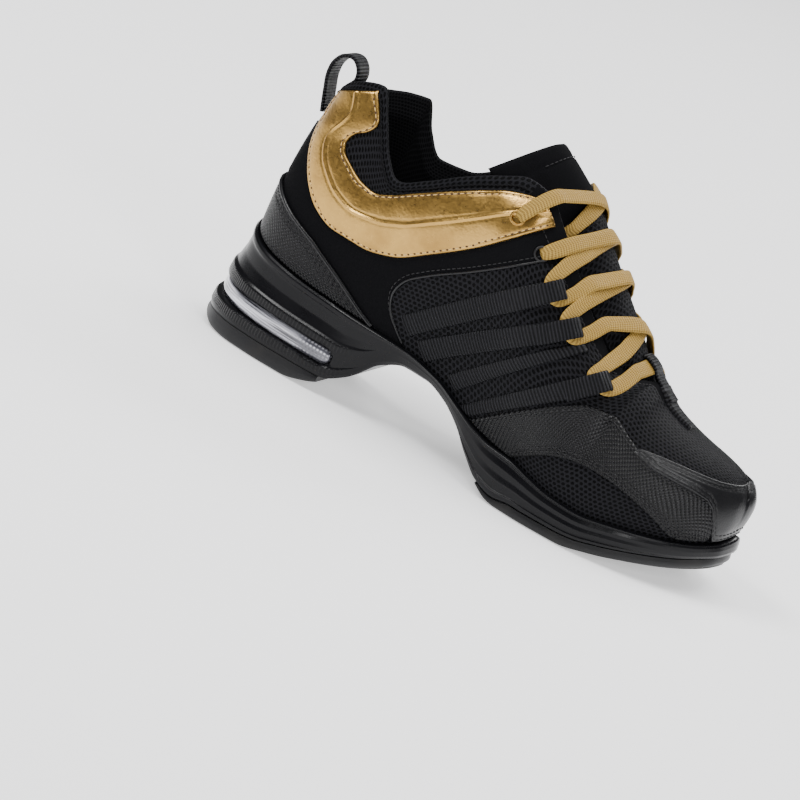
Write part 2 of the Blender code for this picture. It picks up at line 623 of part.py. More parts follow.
def ground_groove(name, route, width, closed, cutters):
    # A cutter swept along a route under the sole.
    route = np.asarray(route, float)
    if closed:
        ahead = np.roll(route, -1, axis=0) - np.roll(route, 1, axis=0)
    else:
        ahead = np.gradient(route, axis=0)
    ahead = ahead / np.linalg.norm(ahead, axis=1, keepdims=True)
    side = np.stack((-ahead[:, 1], ahead[:, 0]), axis=1) * width / 2.0
    base = ground_height(route[:, 0])
    corners = [with_height(route - side, base - TREAD_DEPTH), with_height(route + side, base - TREAD_DEPTH),
               with_height(route + side, base + TREAD_DEPTH), with_height(route - side, base + TREAD_DEPTH)]
    rings = np.stack(corners, axis=1)
    if closed:
        rings = np.concatenate((rings, rings[:1]))
        points = rings.reshape(-1, 3)
        faces = [(4 * one + spot, 4 * one + (spot + 1) % 4, 4 * one + 4 + (spot + 1) % 4, 4 * one + 4 + spot)
                 for one in range(len(rings) - 1) for spot in range(4)]
        return add_cutter(name, points, faces, cutters)
    points = rings.reshape(-1, 3)
    faces = [(4 * one + spot, 4 * one + (spot + 1) % 4, 4 * one + 4 + (spot + 1) % 4, 4 * one + 4 + spot)
             for one in range(len(rings) - 1) for spot in range(4)]
    faces.append((0, 1, 2, 3))
    faces.append(tuple(len(points) - 4 + spot for spot in range(4)))
    return add_cutter(name, points, faces, cutters)


def oval(pad, steps):
    # Points round an oval given by its centre, half length and half width.
    turn = np.arange(steps) / steps * 2.0 * np.pi
    along, across, long_half, wide_half = pad
    return np.stack((SOLE_LENGTH * (along + long_half * np.cos(turn)),
                     BALL_WIDTH * (across + wide_half * np.sin(turn))), axis=1)


def column_places():
    spots = np.arange(2 * STATIONS)
    return np.where(spots <= STATIONS, spots, spots - 2 * STATIONS) / STATIONS


def shell(name, inside, outside, skirt, look, collection):
    # A shell between two offsets of the upper's outer face, open at the collar, the throat
    # and underneath.  Sections meet on the ridge past the throat.
    places = column_places()
    count = len(places)
    layers = []
    start = UPPER_LEVELS[0] if skirt else OVERLAY_START
    for offset in (outside, inside):
        rows = []
        for level in (start,) + UPPER_LEVELS[1:]:
            out = upper_outward(places, np.full(count, level))
            if level == 1.0:
                mirrored = out[(-np.arange(count)) % count]
                closed = (np.abs(places) * STATIONS > THROAT_END - 0.5)[:, None]
                out = np.where(closed, out + mirrored, out)
                out = out / np.linalg.norm(out, axis=1, keepdims=True)
            base = upper_point(places, np.full(count, level))
            rows.append(base + out * np.asarray(offset(places, level))[..., None])
        if skirt:
            out = with_height(plan_outward(places), 0.0)
            foot = upper_foot(places)
            foot[:, 2] = floor_height(places) + CLEARANCE
            rows.insert(0, foot + out * np.asarray(offset(places, 0.0))[..., None])
        layers.append(np.stack(rows))
    rows = len(layers[0])
    points = np.concatenate([layer.reshape(-1, 3) for layer in layers])
    layer_size = rows * count

    def index(layer, row, spot):
        spot = spot % count
        if row == rows - 1 and abs(places[spot]) * STATIONS > THROAT_END - 0.5 and spot > STATIONS:
            spot = count - spot
        return layer * layer_size + row * count + spot

    faces = []
    for spot in range(count):
        for row in range(rows - 1):
            for layer in (0, 1):
                # Both layers are split along the same diagonal, so they stay parallel.
                near, ahead = index(layer, row, spot), index(layer, row, spot + 1)
                over, beyond = index(layer, row + 1, spot), index(layer, row + 1, spot + 1)
                if spot < STATIONS:
                    faces += [(near, ahead, beyond), (near, beyond, over)]
                else:
                    faces += [(near, ahead, over), (ahead, beyond, over)]
        faces.append((index(0, 0, spot), index(1, 0, spot), index(1, 0, spot + 1), index(0, 0, spot + 1)))
        top = rows - 1
        both_closed = min(abs(places[spot]), abs(places[(spot + 1) % count])) * STATIONS > THROAT_END - 0.5
        if not both_closed:
            faces.append((index(0, top, spot), index(0, top, spot + 1),
                          index(1, top, spot + 1), index(1, top, spot)))
    faces = [tuple(dict.fromkeys(face)) for face in faces]
    used = sorted({corner for face in faces for corner in face})
    place_of = {old: new for new, old in enumerate(used)}
    faces = [tuple(place_of[corner] for corner in face) for face in faces if len(face) > 2]
    return add_object(name, points[used], faces, look, collection)


def rounded(outline, rounds):
    # Cuts the corners of a closed outline.
    points = np.asarray(outline, float)
    for _ in range(rounds):
        ahead = np.roll(points, -1, axis=0)
        points = np.stack((points * 0.75 + ahead * 0.25, points * 0.25 + ahead * 0.75), axis=1)
        points = points.reshape(-1, 2)
    return points


def prism(name, outline, axis, low, high, cutters):
    # A closed prism: the outline's two lengths lie across the given axis.
    points = []
    for reach in (low, high):
        for one, two in outline:
            spot = [one, two]
            spot.insert(axis, reach)
            points.append(spot)
    count = len(outline)
    faces = [tuple(range(count)), tuple(range(2 * count - 1, count - 1, -1))]
    for one in range(count):
        two = (one + 1) % count
        faces.append((one, two, two + count, one + count))
    return add_cutter(name, points, faces, cutters)


def side_outline(outline, rounds=2):
    return rounded(np.asarray(outline) * (SOLE_LENGTH, COLLAR_HEIGHT), rounds)


def skin(name, thickness, look, collection):
    # The upper's outer face grown outward: an overlay is cut from it.
    return shell(name, lambda at, level: np.full(np.shape(at), CLEARANCE),
                 lambda at, level: np.full(np.shape(at), CLEARANCE + thickness), False, look, collection)


def side_overlay(name, outline, reach, thickness, look, collection, cutters):
    made = skin(name, thickness, look, collection)
    cutter = prism(name + "_outline", outline, 1, reach[0], reach[1], cutters)
    boolean(made, cutter, "INTERSECT")
    return made


def ridge_shift(along):
    # How far the vamp's ridge lies from the middle of the foot.
    ridge = [row for row in UPPER_TOP if row.around >= THROAT_END / STATIONS]
    return float(np.interp(along, column(ridge, "out_along"), column(ridge, "ridge")))


def tongue_faces():
    # The tongue's outer and inner faces as grids, from its lower end to its top.
    rows = np.linspace(0.0, len(TONGUE) - 1.0, TONGUE_ROWS + 1)
    marks = np.arange(len(TONGUE), dtype=float)
    along = smooth(marks, column(TONGUE, "along"), rows) * SOLE_LENGTH
    height = smooth(marks, column(TONGUE, "height"), rows) * COLLAR_HEIGHT
    half = smooth(marks, column(TONGUE, "half"), rows) * BALL_WIDTH
    fall = smooth(marks, column(TONGUE, "fall"), rows) * COLLAR_HEIGHT
    back = smooth(marks, column(TONGUE, "back"), rows) * SOLE_LENGTH
    across = np.linspace(-1.0, 1.0, TONGUE_COLUMNS + 1)
    bend = np.abs(across) ** 2.2
    outer = np.stack((along[:, None] - back[:, None] * bend,
                      half[:, None] * across,
                      height[:, None] - fall[:, None] * bend), axis=-1)
    run = np.gradient(outer, axis=0)
    side = np.gradient(outer, axis=1)
    out = np.cross(run, side)
    out = out / np.linalg.norm(out, axis=-1, keepdims=True)
    out = np.where(out[..., 2:] < 0.0, -out, out)
    thick = TONGUE_THICKNESS * np.linspace(0.45, 1.0, len(rows))[:, None] * (1.0 - 0.45 * bend)
    return outer, outer - out * thick[..., None]


def tongue_height(along, across):
    # Height of the tongue's outer face over a place in plan, for the lace to lie on.
    marks = np.arange(len(TONGUE), dtype=float)
    places = column(TONGUE, "along")[::-1] * SOLE_LENGTH
    row = np.interp(along, places, marks[::-1])
    height = np.interp(row, marks, column(TONGUE, "height")) * COLLAR_HEIGHT
    half = np.interp(row, marks, column(TONGUE, "half")) * BALL_WIDTH
    fall = np.interp(row, marks, column(TONGUE, "fall")) * COLLAR_HEIGHT
    return height - fall * np.abs(across / half) ** 2.2


def taut(distance, height):
    # Upper hull of the points, as a cord drawn tight over them.
    kept = []
    for spot in zip(distance, height):
        while len(kept) > 1:
            (x0, z0), (x1, z1) = kept[-2], kept[-1]
            if (x1 - x0) * (spot[1] - z0) - (z1 - z0) * (spot[0] - x0) >= 0.0:
                kept.pop()
            else:
                break
        kept.append(spot)
    kept = np.array(kept)
    return np.interp(distance, kept[:, 0], kept[:, 1])


def lace_end(eyelet, sign, over=0.0):
    at = np.array([eyelet.around * sign])
    level = np.array([1.0])
    lift = max(STRAP_THICKNESS, OVERLAY_THICKNESS) + 2.0 * CLEARANCE + LACE_THICKNESS * 0.7
    point = (upper_point(at, level) + upper_outward(at, level) * lift)[0]
    return point + np.array((0.0, 0.0, (eyelet.over + over) * LACE_THICKNESS))


def lace_crest():
    # Unit vector up the middle of the throat, from the lowest eyelets to the highest.
    ends = [lace_end(eyelet, 1.0) + lace_end(eyelet, -1.0) for eyelet in (EYELETS[-1], EYELETS[0])]
    return (ends[1] - ends[0]) / np.linalg.norm(ends[1] - ends[0])


def lace_strand(name, start, end, lift, look, collection):
    # A flat strand drawn tight from one side of the throat to the other over the tongue.
    shares = np.linspace(0.0, 1.0, 25)
    line = start + (end - start) * shares[:, None]
    rise = np.abs(1.0 - 2.0 * shares)
    over = tongue_height(line[:, 0], line[:, 1]) + LACE_THICKNESS * (LACE_OVER_TONGUE + lift * (1.0 - rise))
    over[0], over[-1] = start[2], end[2]
    distance = np.linalg.norm(line[:, :2] - line[0, :2], axis=1)
    line[:, 2] = taut(distance, over)
    kept = np.linspace(0.0, 1.0, LACE_SEGMENTS + 1)
    route = np.stack([smooth(shares, line[:, axis], kept) for axis in range(3)], axis=1)
    ahead = np.gradient(route, axis=0)
    ahead = ahead / np.linalg.norm(ahead, axis=1, keepdims=True)
    crest = lace_crest()
    wide = crest - ahead * (ahead @ crest)[:, None]
    wide = wide / np.linalg.norm(wide, axis=1, keepdims=True)
    out = np.cross(ahead, wide)
    out = np.where(out[:, 2:] < 0.0, -out, out)
    high = np.stack([route + out * LACE_THICKNESS / 2.0 + wide * LACE_WIDTH * side
                     for side in (-0.5, 0.5)], axis=1)
    low = np.stack([route - out * LACE_THICKNESS / 2.0 + wide * LACE_WIDTH * side
                    for side in (-0.5, 0.5)], axis=1)
    return sheet(name, high, low, look, collection)


def make_midsole(looks, parts):
    return loft("midsole", midsole_rings(np.arange(STATIONS + 1) / STATIONS), looks["foam"], parts)


def make_heel_outsole(looks, parts, cutters):
    made = outsole("outsole_heel", 0, HEEL_OUTSOLE_END, looks["tread"], parts)
    ring = ground_groove("heel_ring", oval(HEEL_PAD, 20), GROOVE_WIDTH, True, cutters)
    boolean(made, ring, "DIFFERENCE")
    for number, (along, across) in enumerate(HEEL_STUDS):
        spot = (along, across, STUD_RADIUS / SOLE_LENGTH, STUD_RADIUS / BALL_WIDTH)
        stud = ground_patch(f"stud_{number}", oval(spot, 8), TREAD_DEPTH, cutters)
        boolean(made, stud, "DIFFERENCE")
    return made


def make_forefoot_outsole(looks, parts, cutters):
    made = outsole("outsole_forefoot", FOREFOOT_OUTSOLE_START, STATIONS, looks["tread"], parts)
    ring = ground_groove("fore_ring", oval(FORE_PAD, 24), GROOVE_WIDTH, True, cutters)
    boolean(made, ring, "DIFFERENCE")
    for number, (middle, sag) in enumerate(FORE_GROOVES):
        share = np.linspace(-1.0, 1.0, 11)
        route = np.stack((SOLE_LENGTH * (middle + sag * (1.0 - share ** 2)),
                          BALL_WIDTH * FORE_GROOVE_HALF * share), axis=1)
        boolean(made, ground_groove(f"groove_{number}", route, GROOVE_WIDTH, False, cutters), "DIFFERENCE")
    for number, leaf in enumerate(TOE_LEAVES):
        boolean(made, ground_patch(f"leaf_{number}", oval(leaf, 10), TREAD_DEPTH, cutters), "DIFFERENCE")
    return made


def make_heel_window(looks, parts):
    # A clear strip in the recess, from one side of the heel round its back to the other.
    places = np.linspace(-(WINDOW_END - 0.3), WINDOW_END - 0.3, 2 * WINDOW_END + 1) / STATIONS
    low = midsole_bottom(places)
    high = rim_height(places)
    below, above = SIDE_WALL[WINDOW_LOW], SIDE_WALL[WINDOW_HIGH]
    gap = CLEARANCE * 1.5
    deep = [side_inset(places, row, 1.0) - gap for row in (below, above)]
    bottom = low + (high - low) * below.height + gap
    top = low + (high - low) * above.height - gap
    inner = np.stack([with_height(inset_point(places, deep[0]), bottom),
                      with_height(inset_point(places, deep[1]), top)], axis=1)
    outer = np.stack([with_height(inset_point(places, deep[0] - WINDOW_DEPTH), bottom),
                      with_height(inset_point(places, deep[1] - WINDOW_DEPTH), top)], axis=1)
    return sheet("heel_window", outer, inner, looks["clear"], parts)


def make_insole(looks, parts):
    def edge(spots):
        return cup_inset(spots) + UPPER_WALL + 2.0 * CLEARANCE
    insets = (edge, lambda spots: edge(spots) + 0.2 * INSOLE_THICKNESS)
    heights = (lambda spots: floor_height(spots) + CLEARANCE,
               lambda spots: floor_height(spots) + CLEARANCE + INSOLE_THICKNESS)
    rings = slab_rings(np.arange(STATIONS + 1) / STATIONS, insets, heights, 4)
    return loft("insole", rings, looks["lining"], parts)


def make_upper(looks, parts):
    return shell("upper", lambda at, level: -wall_thickness(at, level),
                 lambda at, level: np.zeros(np.shape(at)), True, looks["upper"], parts)


def make_tongue(looks, parts):
    outer, inner = tongue_faces()
    return sheet("tongue", outer, inner, looks["knit"], parts)


def make_pull_loop(looks, parts):
    # Webbing bent over the collar's back, from its outside to its top edge.
    top = upper_point(np.array([0.0]), np.array([1.0]))[0]
    start = upper_point(np.array([0.0]), np.array([0.80]))[0]
    reach = CLEARANCE + LOOP_THICKNESS / 2.0
    route = [(start[0] - reach - CLEARANCE, start[2])]
    route += [(top[0] + along * LOOP_HEIGHT, top[2] + height * LOOP_HEIGHT) for along, height in PULL_LOOP]
    route.append((top[0] + (UPPER_WALL + COLLAR_PAD) * 0.35, top[2] + LOOP_THICKNESS * 1.2))
    route = np.array(route)
    marks = np.arange(len(route), dtype=float)
    fine = np.linspace(0.0, len(route) - 1.0, 17)
    route = np.stack([smooth(marks, route[:, 0], fine), smooth(marks, route[:, 1], fine)], axis=1)
    ahead = np.gradient(route, axis=0)
    side = np.stack((-ahead[:, 1], ahead[:, 0]), axis=1)
    side = side / np.linalg.norm(side, axis=1, keepdims=True) * LOOP_THICKNESS / 2.0
    faces = []
    for sign in (1.0, -1.0):
        flat = route + side * sign
        faces.append(np.stack([np.stack((flat[:, 0], np.full(len(flat), across), flat[:, 1]), axis=1)
                               for across in (-LOOP_WIDTH / 2.0, LOOP_WIDTH / 2.0)], axis=1))
    return sheet("pull_loop", faces[0], faces[1], looks["webbing"], parts)


def make_back_strip(looks, parts, cutters):
    made = skin("back_strip", OVERLAY_THICKNESS, looks["smooth"], parts)
    half = BACK_STRIP_WIDTH / 2.0
    low = BACK_STRIP_LOW * COLLAR_HEIGHT
    high = BACK_STRIP_HIGH * COLLAR_HEIGHT
    outline = [(-half, low), (half, low), (half, high), (-half, high)]
    boolean(made, prism("back_strip_outline", outline, 0, -0.02, 0.12 * SOLE_LENGTH, cutters), "INTERSECT")
    return made


def make_overlays(looks, parts, cutters):
    wide = BALL_WIDTH
    spread = BAND_SPREAD * BALL_WIDTH
    side_overlay("heel_counter", side_outline(COUNTER_EDGE, 1), (-wide, wide), OVERLAY_THICKNESS,
                 looks["textured"], parts, cutters)
    side_overlay("toe_band", side_outline(TOE_BAND_EDGE, 1), (-wide, wide), OVERLAY_THICKNESS,
                 looks["smooth"], parts, cutters)
    for side, reach, band_reach in (("lateral", (-wide, 0.0), (-wide, -spread)),
                                    ("medial", (0.0, wide), (spread, wide))):
        side_overlay(f"collar_band_{side}", side_outline(COLLAR_BAND_EDGE, 1), band_reach,
                     OVERLAY_THICKNESS, looks["gold"], parts, cutters)
        side_overlay(f"side_overlay_{side}", side_outline(SIDE_OVERLAY_EDGE, 1), reach,
                     OVERLAY_THICKNESS, looks["textured"], parts, cutters)
        for strap in STRAPS:
            outline = np.array(strap[1:]) * (SOLE_LENGTH, COLLAR_HEIGHT)
            side_overlay(f"strap_{strap.name}_{side}", outline, reach, STRAP_THICKNESS,
                         looks["webbing"], parts, cutters)


def make_lace_keeper(looks, parts, cutters):
    made = skin("lace_keeper", OVERLAY_THICKNESS, looks["webbing"], parts)
    outline = [(along * SOLE_LENGTH, (ridge_shift(along) + across) * BALL_WIDTH)
               for along, across in LACE_KEEPER]
    boolean(made, prism("lace_keeper_plan", outline, 2, HEEL_HEIGHT, COLLAR_HEIGHT, cutters), "INTERSECT")
    return made


def make_laces(looks, parts, cutters):
    # A bar at the foot of the throat and a crossing between each two pairs of eyelets.
    low = EYELETS[-1]
    made = lace_strand("laces", lace_end(low, 1.0, 0.2), lace_end(low, -1.0, 0.2), 0.0, looks["lace"], parts)
    for number, (high, below) in enumerate(zip(EYELETS[:-1], EYELETS[1:])):
        for sign, lift, over in ((1.0, LACE_OVER_LACE, 0.4), (-1.0, 0.0, 0.0)):
            strand = lace_strand(f"lace_{number}_{int(sign)}", lace_end(high, sign, over),
                                 lace_end(below, -sign, over), lift, None, cutters)
            strand.hide_render = True
            strand.display_type = "WIRE"
            boolean(made, strand, "UNION")
    return made


def main():
    clear_scene()
    parts = bpy.data.collections.new("dance_sneaker")
    cutters = bpy.data.collections.new("cutters")
    bpy.context.scene.collection.children.link(parts)
    bpy.context.scene.collection.children.link(cutters)
    looks = {
        "foam": material("sole_black", (0.012, 0.012, 0.014), 0.42),
        "tread": material("tread_black", (0.020, 0.020, 0.023), 0.50),
        "clear": material("clear_window", (0.52, 0.55, 0.62), 0.15),
        "lining": material("lining_black", (0.016, 0.016, 0.018), 0.90),
        "upper": material("upper_black", (0.014, 0.014, 0.016), 0.80),
        "knit": material("knit_black", (0.012, 0.012, 0.014), 0.92),
        "textured": material("textured_black", (0.022, 0.022, 0.026), 0.52),
        "smooth": material("smooth_black", (0.018, 0.018, 0.020), 0.40),
        "webbing": material("webbing_black", (0.020, 0.020, 0.023), 0.70),
        "gold": material("gold_leather", (0.72, 0.50, 0.20), 0.34, 0.85),
        "lace": material("lace_gold", (0.52, 0.34, 0.11), 0.70),
    }
    make_midsole(looks, parts)
    make_heel_outsole(looks, parts, cutters)
    make_forefoot_outsole(looks, parts, cutters)
    make_heel_window(looks, parts)
    make_insole(looks, parts)
    make_upper(looks, parts)
    make_tongue(looks, parts)
    make_overlays(looks, parts, cutters)
    make_back_strip(looks, parts, cutters)
    make_lace_keeper(looks, parts, cutters)
    make_pull_loop(looks, parts)
    make_laces(looks, parts, cutters)


main()
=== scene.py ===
# Dance sneaker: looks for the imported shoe. Lengths are in metres, tables in millimetres or shares.
import bmesh
import bpy
import numpy as np
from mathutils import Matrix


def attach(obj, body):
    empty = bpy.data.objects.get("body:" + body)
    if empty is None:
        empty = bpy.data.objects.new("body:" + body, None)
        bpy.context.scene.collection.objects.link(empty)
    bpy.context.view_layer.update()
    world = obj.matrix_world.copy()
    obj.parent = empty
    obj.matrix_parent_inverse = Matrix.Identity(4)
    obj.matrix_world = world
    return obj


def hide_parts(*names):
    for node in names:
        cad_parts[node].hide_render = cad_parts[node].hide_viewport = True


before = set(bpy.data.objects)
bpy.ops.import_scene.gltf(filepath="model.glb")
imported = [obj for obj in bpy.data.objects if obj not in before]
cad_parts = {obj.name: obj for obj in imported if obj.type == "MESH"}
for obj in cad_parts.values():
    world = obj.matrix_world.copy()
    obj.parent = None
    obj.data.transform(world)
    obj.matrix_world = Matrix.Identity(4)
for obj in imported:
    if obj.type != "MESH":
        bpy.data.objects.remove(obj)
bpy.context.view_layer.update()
print("frame loaded")

# The shoe's driving sizes, the same as its solids have.
shoe = dict(length=0.250, ball=0.0905, heel=0.040, collar=0.125, originAt=0.034, gap=0.0003)
sole = dict(rib=0.0020, rimWall=0.0024, cup=0.0060, lean=0.0024, heelTop=0.0070, unit=0.0042,
            recess=0.0030, heelEnd=9 / 28, foreStart=17 / 28, insole=0.0030)
body = dict(wall=0.0020, pad=0.0034, around=0.290, throatEnd=0.75)

# around, along, shift, half width
soleOutline = np.array([
    (0, 0, 0, 0), (.04, .005, 0, .105), (.08, .020, 0, .201), (.13, .050, 0, .287), (.18, .096, 0, .345),
    (.24, .164, -.003, .367), (.32, .264, -.017, .358), (.40, .360, -.035, .340), (.48, .452, -.044, .347),
    (.56, .544, -.046, .392), (.64, .632, -.040, .455), (.71, .708, -.024, .495), (.77, .772, -.007, .500),
    (.83, .836, .018, .464), (.88, .892, .042, .402), (.925, .940, .062, .315), (.955, .970, .075, .227),
    (.98, .992, .085, .125), (1, 1, .088, 0)])
# along, height of the ground face
groundLine = np.array([
    (0, .125), (.016, .055), (.048, .008), (.072, 0), (.2, 0), (.246, .06), (.28, .16), (.314, .345),
    (.345, .57), (.38, .7), (.416, .725), (.456, .67), (.496, .555), (.532, .39), (.568, .22), (.6, .085),
    (.63, .01), (.645, 0), (.765, 0), (.82, .045), (.88, .125), (.94, .22), (.98, .305), (1, .37)])
# around, rim height, cup depth, heel share, arch share, forefoot share, lean
rimLine = np.array([
    (0, 1.21, 1.1, 1, 0, 0, 1), (.05, 1.19, 1.1, 1, 0, 0, .9), (.1, 1.13, 1.05, 1, 0, 0, .5),
    (.16, 1.05, 1, 1, 0, 0, .1), (.22, .985, 1, 1, 0, 0, 0), (.28, .94, 1, 1, 0, 0, 0),
    (.34, .915, .85, .6, .4, 0, 0), (.42, .9, .5, 0, 1, 0, 0), (.48, .825, .45, 0, 1, 0, 0),
    (.53, .69, .6, 0, .9, .1, 0), (.57, .585, .8, 0, .5, .5, 0), (.6, .54, .95, 0, .2, .8, 0),
    (.64, .53, 1, 0, 0, 1, 0), (.68, .475, 1, 0, 0, 1, 0), (.73, .41, 1, 0, 0, 1, 0),
    (.78, .39, 1, 0, 0, 1, 0), (.84, .43, 1, 0, 0, 1, 0), (.9, .485, 1, 0, 0, 1, 0),
    (.95, .55, 1.05, 0, 0, 1, .1), (.98, .62, 1.1, 0, 0, 1, .4), (1, .675, 1.15, 0, 0, 1, .5)])
# height share, then how far each kind of side wall stands back: heel, arch, forefoot
wallSteps = np.array([
    (0, .5, 3, .9), (.05, .1, 2.6, .3), (.165, .15, 2, .1), (.185, .5, 1.9, .55), (.4, .6, 1.4, .3),
    (.42, .55, 1.35, .2), (.54, .6, 1.1, .4), (.575, 1.1, 1, .45), (.72, 1.6, .8, .35),
    (.885, 1.75, .45, .75), (.915, 1.35, .3, .4), (.965, 1.3, .2, .3), (1, 1.7, .6, .75)])
# around, ridge, outer side along, half, height, inner side along, half, height
topLine = np.array([
    (0, 0, .052, 0, .908, .052, 0, .908), (.04, 0, .056, .088, .914, .056, .088, .910),
    (.08, 0, .068, .155, .936, .068, .155, .918), (.13, 0, .097, .207, .975, .097, .207, .934),
    (.18, 0, .138, .232, .998, .136, .238, .958), (.22, 0, .172, .262, .905, .166, .262, .966),
    (.26, 0, .204, .293, .808, .192, .285, .868), (.3, 0, .238, .318, .755, .226, .305, .795),
    (.35, 0, .288, .335, .808, .278, .318, .804), (.4, 0, .34, .342, .88, .332, .326, .868),
    (.45, 0, .396, .331, .944, .392, .324, .94), (.49, 0, .444, .315, .984, .442, .309, .976),
    (.53, 0, .488, .298, .97, .488, .294, .966), (.56, 0, .52, .287, .912, .52, .284, .912),
    (.59, .001, .554, .277, .844, .554, .275, .844), (.62, .002, .594, .266, .764, .594, .264, .764),
    (.655, .003, .646, .252, .664, .646, .25, .664), (.69, .004, .698, .228, .584, .698, .226, .584),
    (.712, .005, .729, .185, .562, .729, .184, .562), (.732, .006, .754, .112, .561, .754, .112, .561),
    (.75, .007, .766, 0, .56, .766, 0, .56), (.79, .014, .798, 0, .509, .798, 0, .509),
    (.83, .025, .828, 0, .481, .828, 0, .481), (.88, .044, .868, 0, .456, .868, 0, .456),
    (.925, .062, .908, 0, .438, .908, 0, .438), (.955, .075, .934, 0, .424, .934, 0, .424),
    (.98, .084, .951, 0, .41, .951, 0, .41), (1, .088, .96, 0, .396, .96, 0, .396)])
# around, outward slope, lower handle, upper handle, inward lean, padding
bendLine = np.array([
    (0, .03, .4, .35, .14, 1), (.1, .08, .4, .35, .16, 1), (.2, .1, .4, .35, .16, 1),
    (.3, .1, .4, .35, .14, 1), (.42, .12, .4, .38, .2, 1), (.5, .12, .38, .38, .36, .8),
    (.56, .12, .38, .38, .52, .1), (.62, .14, .36, .38, .72, 0), (.69, .16, .36, .38, .92, 0),
    (.75, .16, .4, .42, 1, 0), (.86, .16, .42, .46, 1, 0), (.93, .15, .44, .48, 1, 0),
    (1, .12, .46, .5, 1, 0)])


def hermite(values, slopes, place, width, share):
    # cubic between two neighbours of a table, from their values and slopes
    rest = 1 - share
    first = values[place] * (1 + 2 * share) * rest ** 2 + slopes[place] * width * share * rest ** 2
    second = values[place + 1] * (3 - 2 * share) * share ** 2
    return first + second - slopes[place + 1] * width * share ** 2 * rest


def smoothCurve(knots, values, at):
    # cubic through the knots, with slopes that never overshoot a rise or a fall
    steps = np.diff(knots)
    rises = np.diff(values) / steps
    same = rises[:-1] * rises[1:] > 0
    before, after = 2 * steps[1:] + steps[:-1], steps[1:] + 2 * steps[:-1]
    one, two = np.where(same, rises[:-1], 1.0), np.where(same, rises[1:], 1.0)
    slopes = np.zeros(len(knots))
    slopes[1:-1] = np.where(same, (before + after) / (before / one + after / two), 0)
    slopes[0], slopes[-1] = rises[0], rises[-1]
    place = np.clip(np.searchsorted(knots, at, side="right") - 1, 0, len(steps) - 1)
    return hermite(values, slopes, place, steps[place], (at - knots[place]) / steps[place])


def bothSides(spots, outer, inner, at):
    # outer side at positive places, inner side at negative ones, one loop from toe to toe
    knots = np.concatenate((-spots[:0:-1], spots))
    values = np.concatenate((inner[:0:-1], outer))
    lap = np.concatenate((knots[:-1] - 2, knots[:-1], knots + 2))
    return smoothCurve(lap, np.concatenate((values[:-1], values[:-1], values)), np.asarray(at, float))


def along(table, column, at):
    return bothSides(table[:, 0], table[:, column], table[:, column], at)


def unit(vector):
    return vector / np.maximum(np.linalg.norm(vector, axis=-1, keepdims=True), 1e-12)


def runLength(points, power=1):
    # distance along the line from its first point to each point
    return np.concatenate(([0], np.cumsum(np.linalg.norm(np.diff(points, axis=0), axis=1) ** power)))


def curveThrough(points, count):
    # smooth curve through the points, its knots spaced by a power of their distances
    points = np.asarray(points, float)
    run = runLength(points, 0.7)
    fine = np.linspace(0, run[-1], count)
    slopes = np.gradient(points, run, axis=0)
    place = np.clip(np.searchsorted(run, fine, side="right") - 1, 0, len(run) - 2)
    width = (run[place + 1] - run[place])[:, None]
    return hermite(points, slopes, place, width, (fine - run[place])[:, None] / width)


def lift(flat, height):
    return np.concatenate((flat, np.broadcast_to(height, flat.shape[:-1])[..., None]), -1)


def crowd(share):
    # share from 0 to 1 whose steps shrink at both ends, for the sharp bends of heel and toe
    return .45 * share + .275 * (1 - np.cos(np.pi * share))


def softStep(value):
    # 0 to 1 with level ends
    share = np.clip(value, 0, 1)
    return share * share * (3 - 2 * share)


def roundEdge(distance, radius):
    # quarter circle that climbs from 0 at the edge to 1 one radius in
    return np.sqrt(np.maximum(1 - (1 - np.clip(distance / radius, 0, 1)) ** 2, 0))


def planPoint(at):
    half = soleOutline[:, 3] * shoe["ball"]
    across = along(soleOutline, 2, at) * shoe["ball"] - bothSides(soleOutline[:, 0], half, -half, at)
    return np.stack((along(soleOutline, 1, at) * shoe["length"], across), -1)


def planOutward(at):
    run = planPoint(np.asarray(at) + 0.004) - planPoint(np.asarray(at) - 0.004)
    return unit(np.stack((run[..., 1], -run[..., 0]), -1))


def insetPoint(at, inset):
    return planPoint(at) - planOutward(at) * np.asarray(inset)[..., None]


def groundHeight(x):
    return smoothCurve(groundLine[:, 0], groundLine[:, 1], np.clip(x / shoe["length"], 0, 1)) * shoe["heel"]


def rimHeight(at):
    return along(rimLine, 1, at) * shoe["heel"]


def floorHeight(at):
    return rimHeight(at) - along(rimLine, 2, at) * sole["cup"]


wallShares = np.linspace(0, 1, 401)
wallFine = [np.convolve(np.pad(np.interp(wallShares, wallSteps[:, 0], wallSteps[:, k]), 5, "edge"),
                        np.ones(11) / 11, "valid") for k in (1, 2, 3)]


def sideInset(at, share):
    # each kind of side wall, weighed by how much of it the place has, plain at the toe, plus the heel's lean
    kinds = sum(along(rimLine, 3 + k, at) * np.interp(share, wallShares, wallFine[k]) for k in range(3))
    plain = np.interp(share, (0, .1, .3, .6, .85, .93, .965, 1), (.9, .4, .05, 0, .08, .18, .3, .75))
    kinds = kinds + (plain - kinds) * softStep((np.abs(at) - .80) / .13)
    return kinds * sole["rib"] + along(rimLine, 6, at) * sole["lean"] * share


def cupInset(at):
    return sideInset(at, 0.965) + sole["rimWall"]


def stationSmooth(rule, at):
    spots = np.arange(29) / 28
    return smoothCurve(spots, rule(spots), np.abs(at))


def unitTop(at):
    ground = groundHeight(planPoint(at)[..., 0])
    share = np.interp(np.abs(at), (sole["foreStart"], sole["foreStart"] + 2 / 28), (0.2, 1))
    return np.where(np.abs(at) <= sole["heelEnd"] + 1e-6, sole["heelTop"], ground + share * sole["unit"])


def midsoleBottom(at):
    def rule(spots):
        free = (spots > 9.5 / 28) & (spots < 16.5 / 28)
        return np.where(free, groundHeight(planPoint(spots)[..., 0]), unitTop(spots) + shoe["gap"])
    return stationSmooth(rule, at)


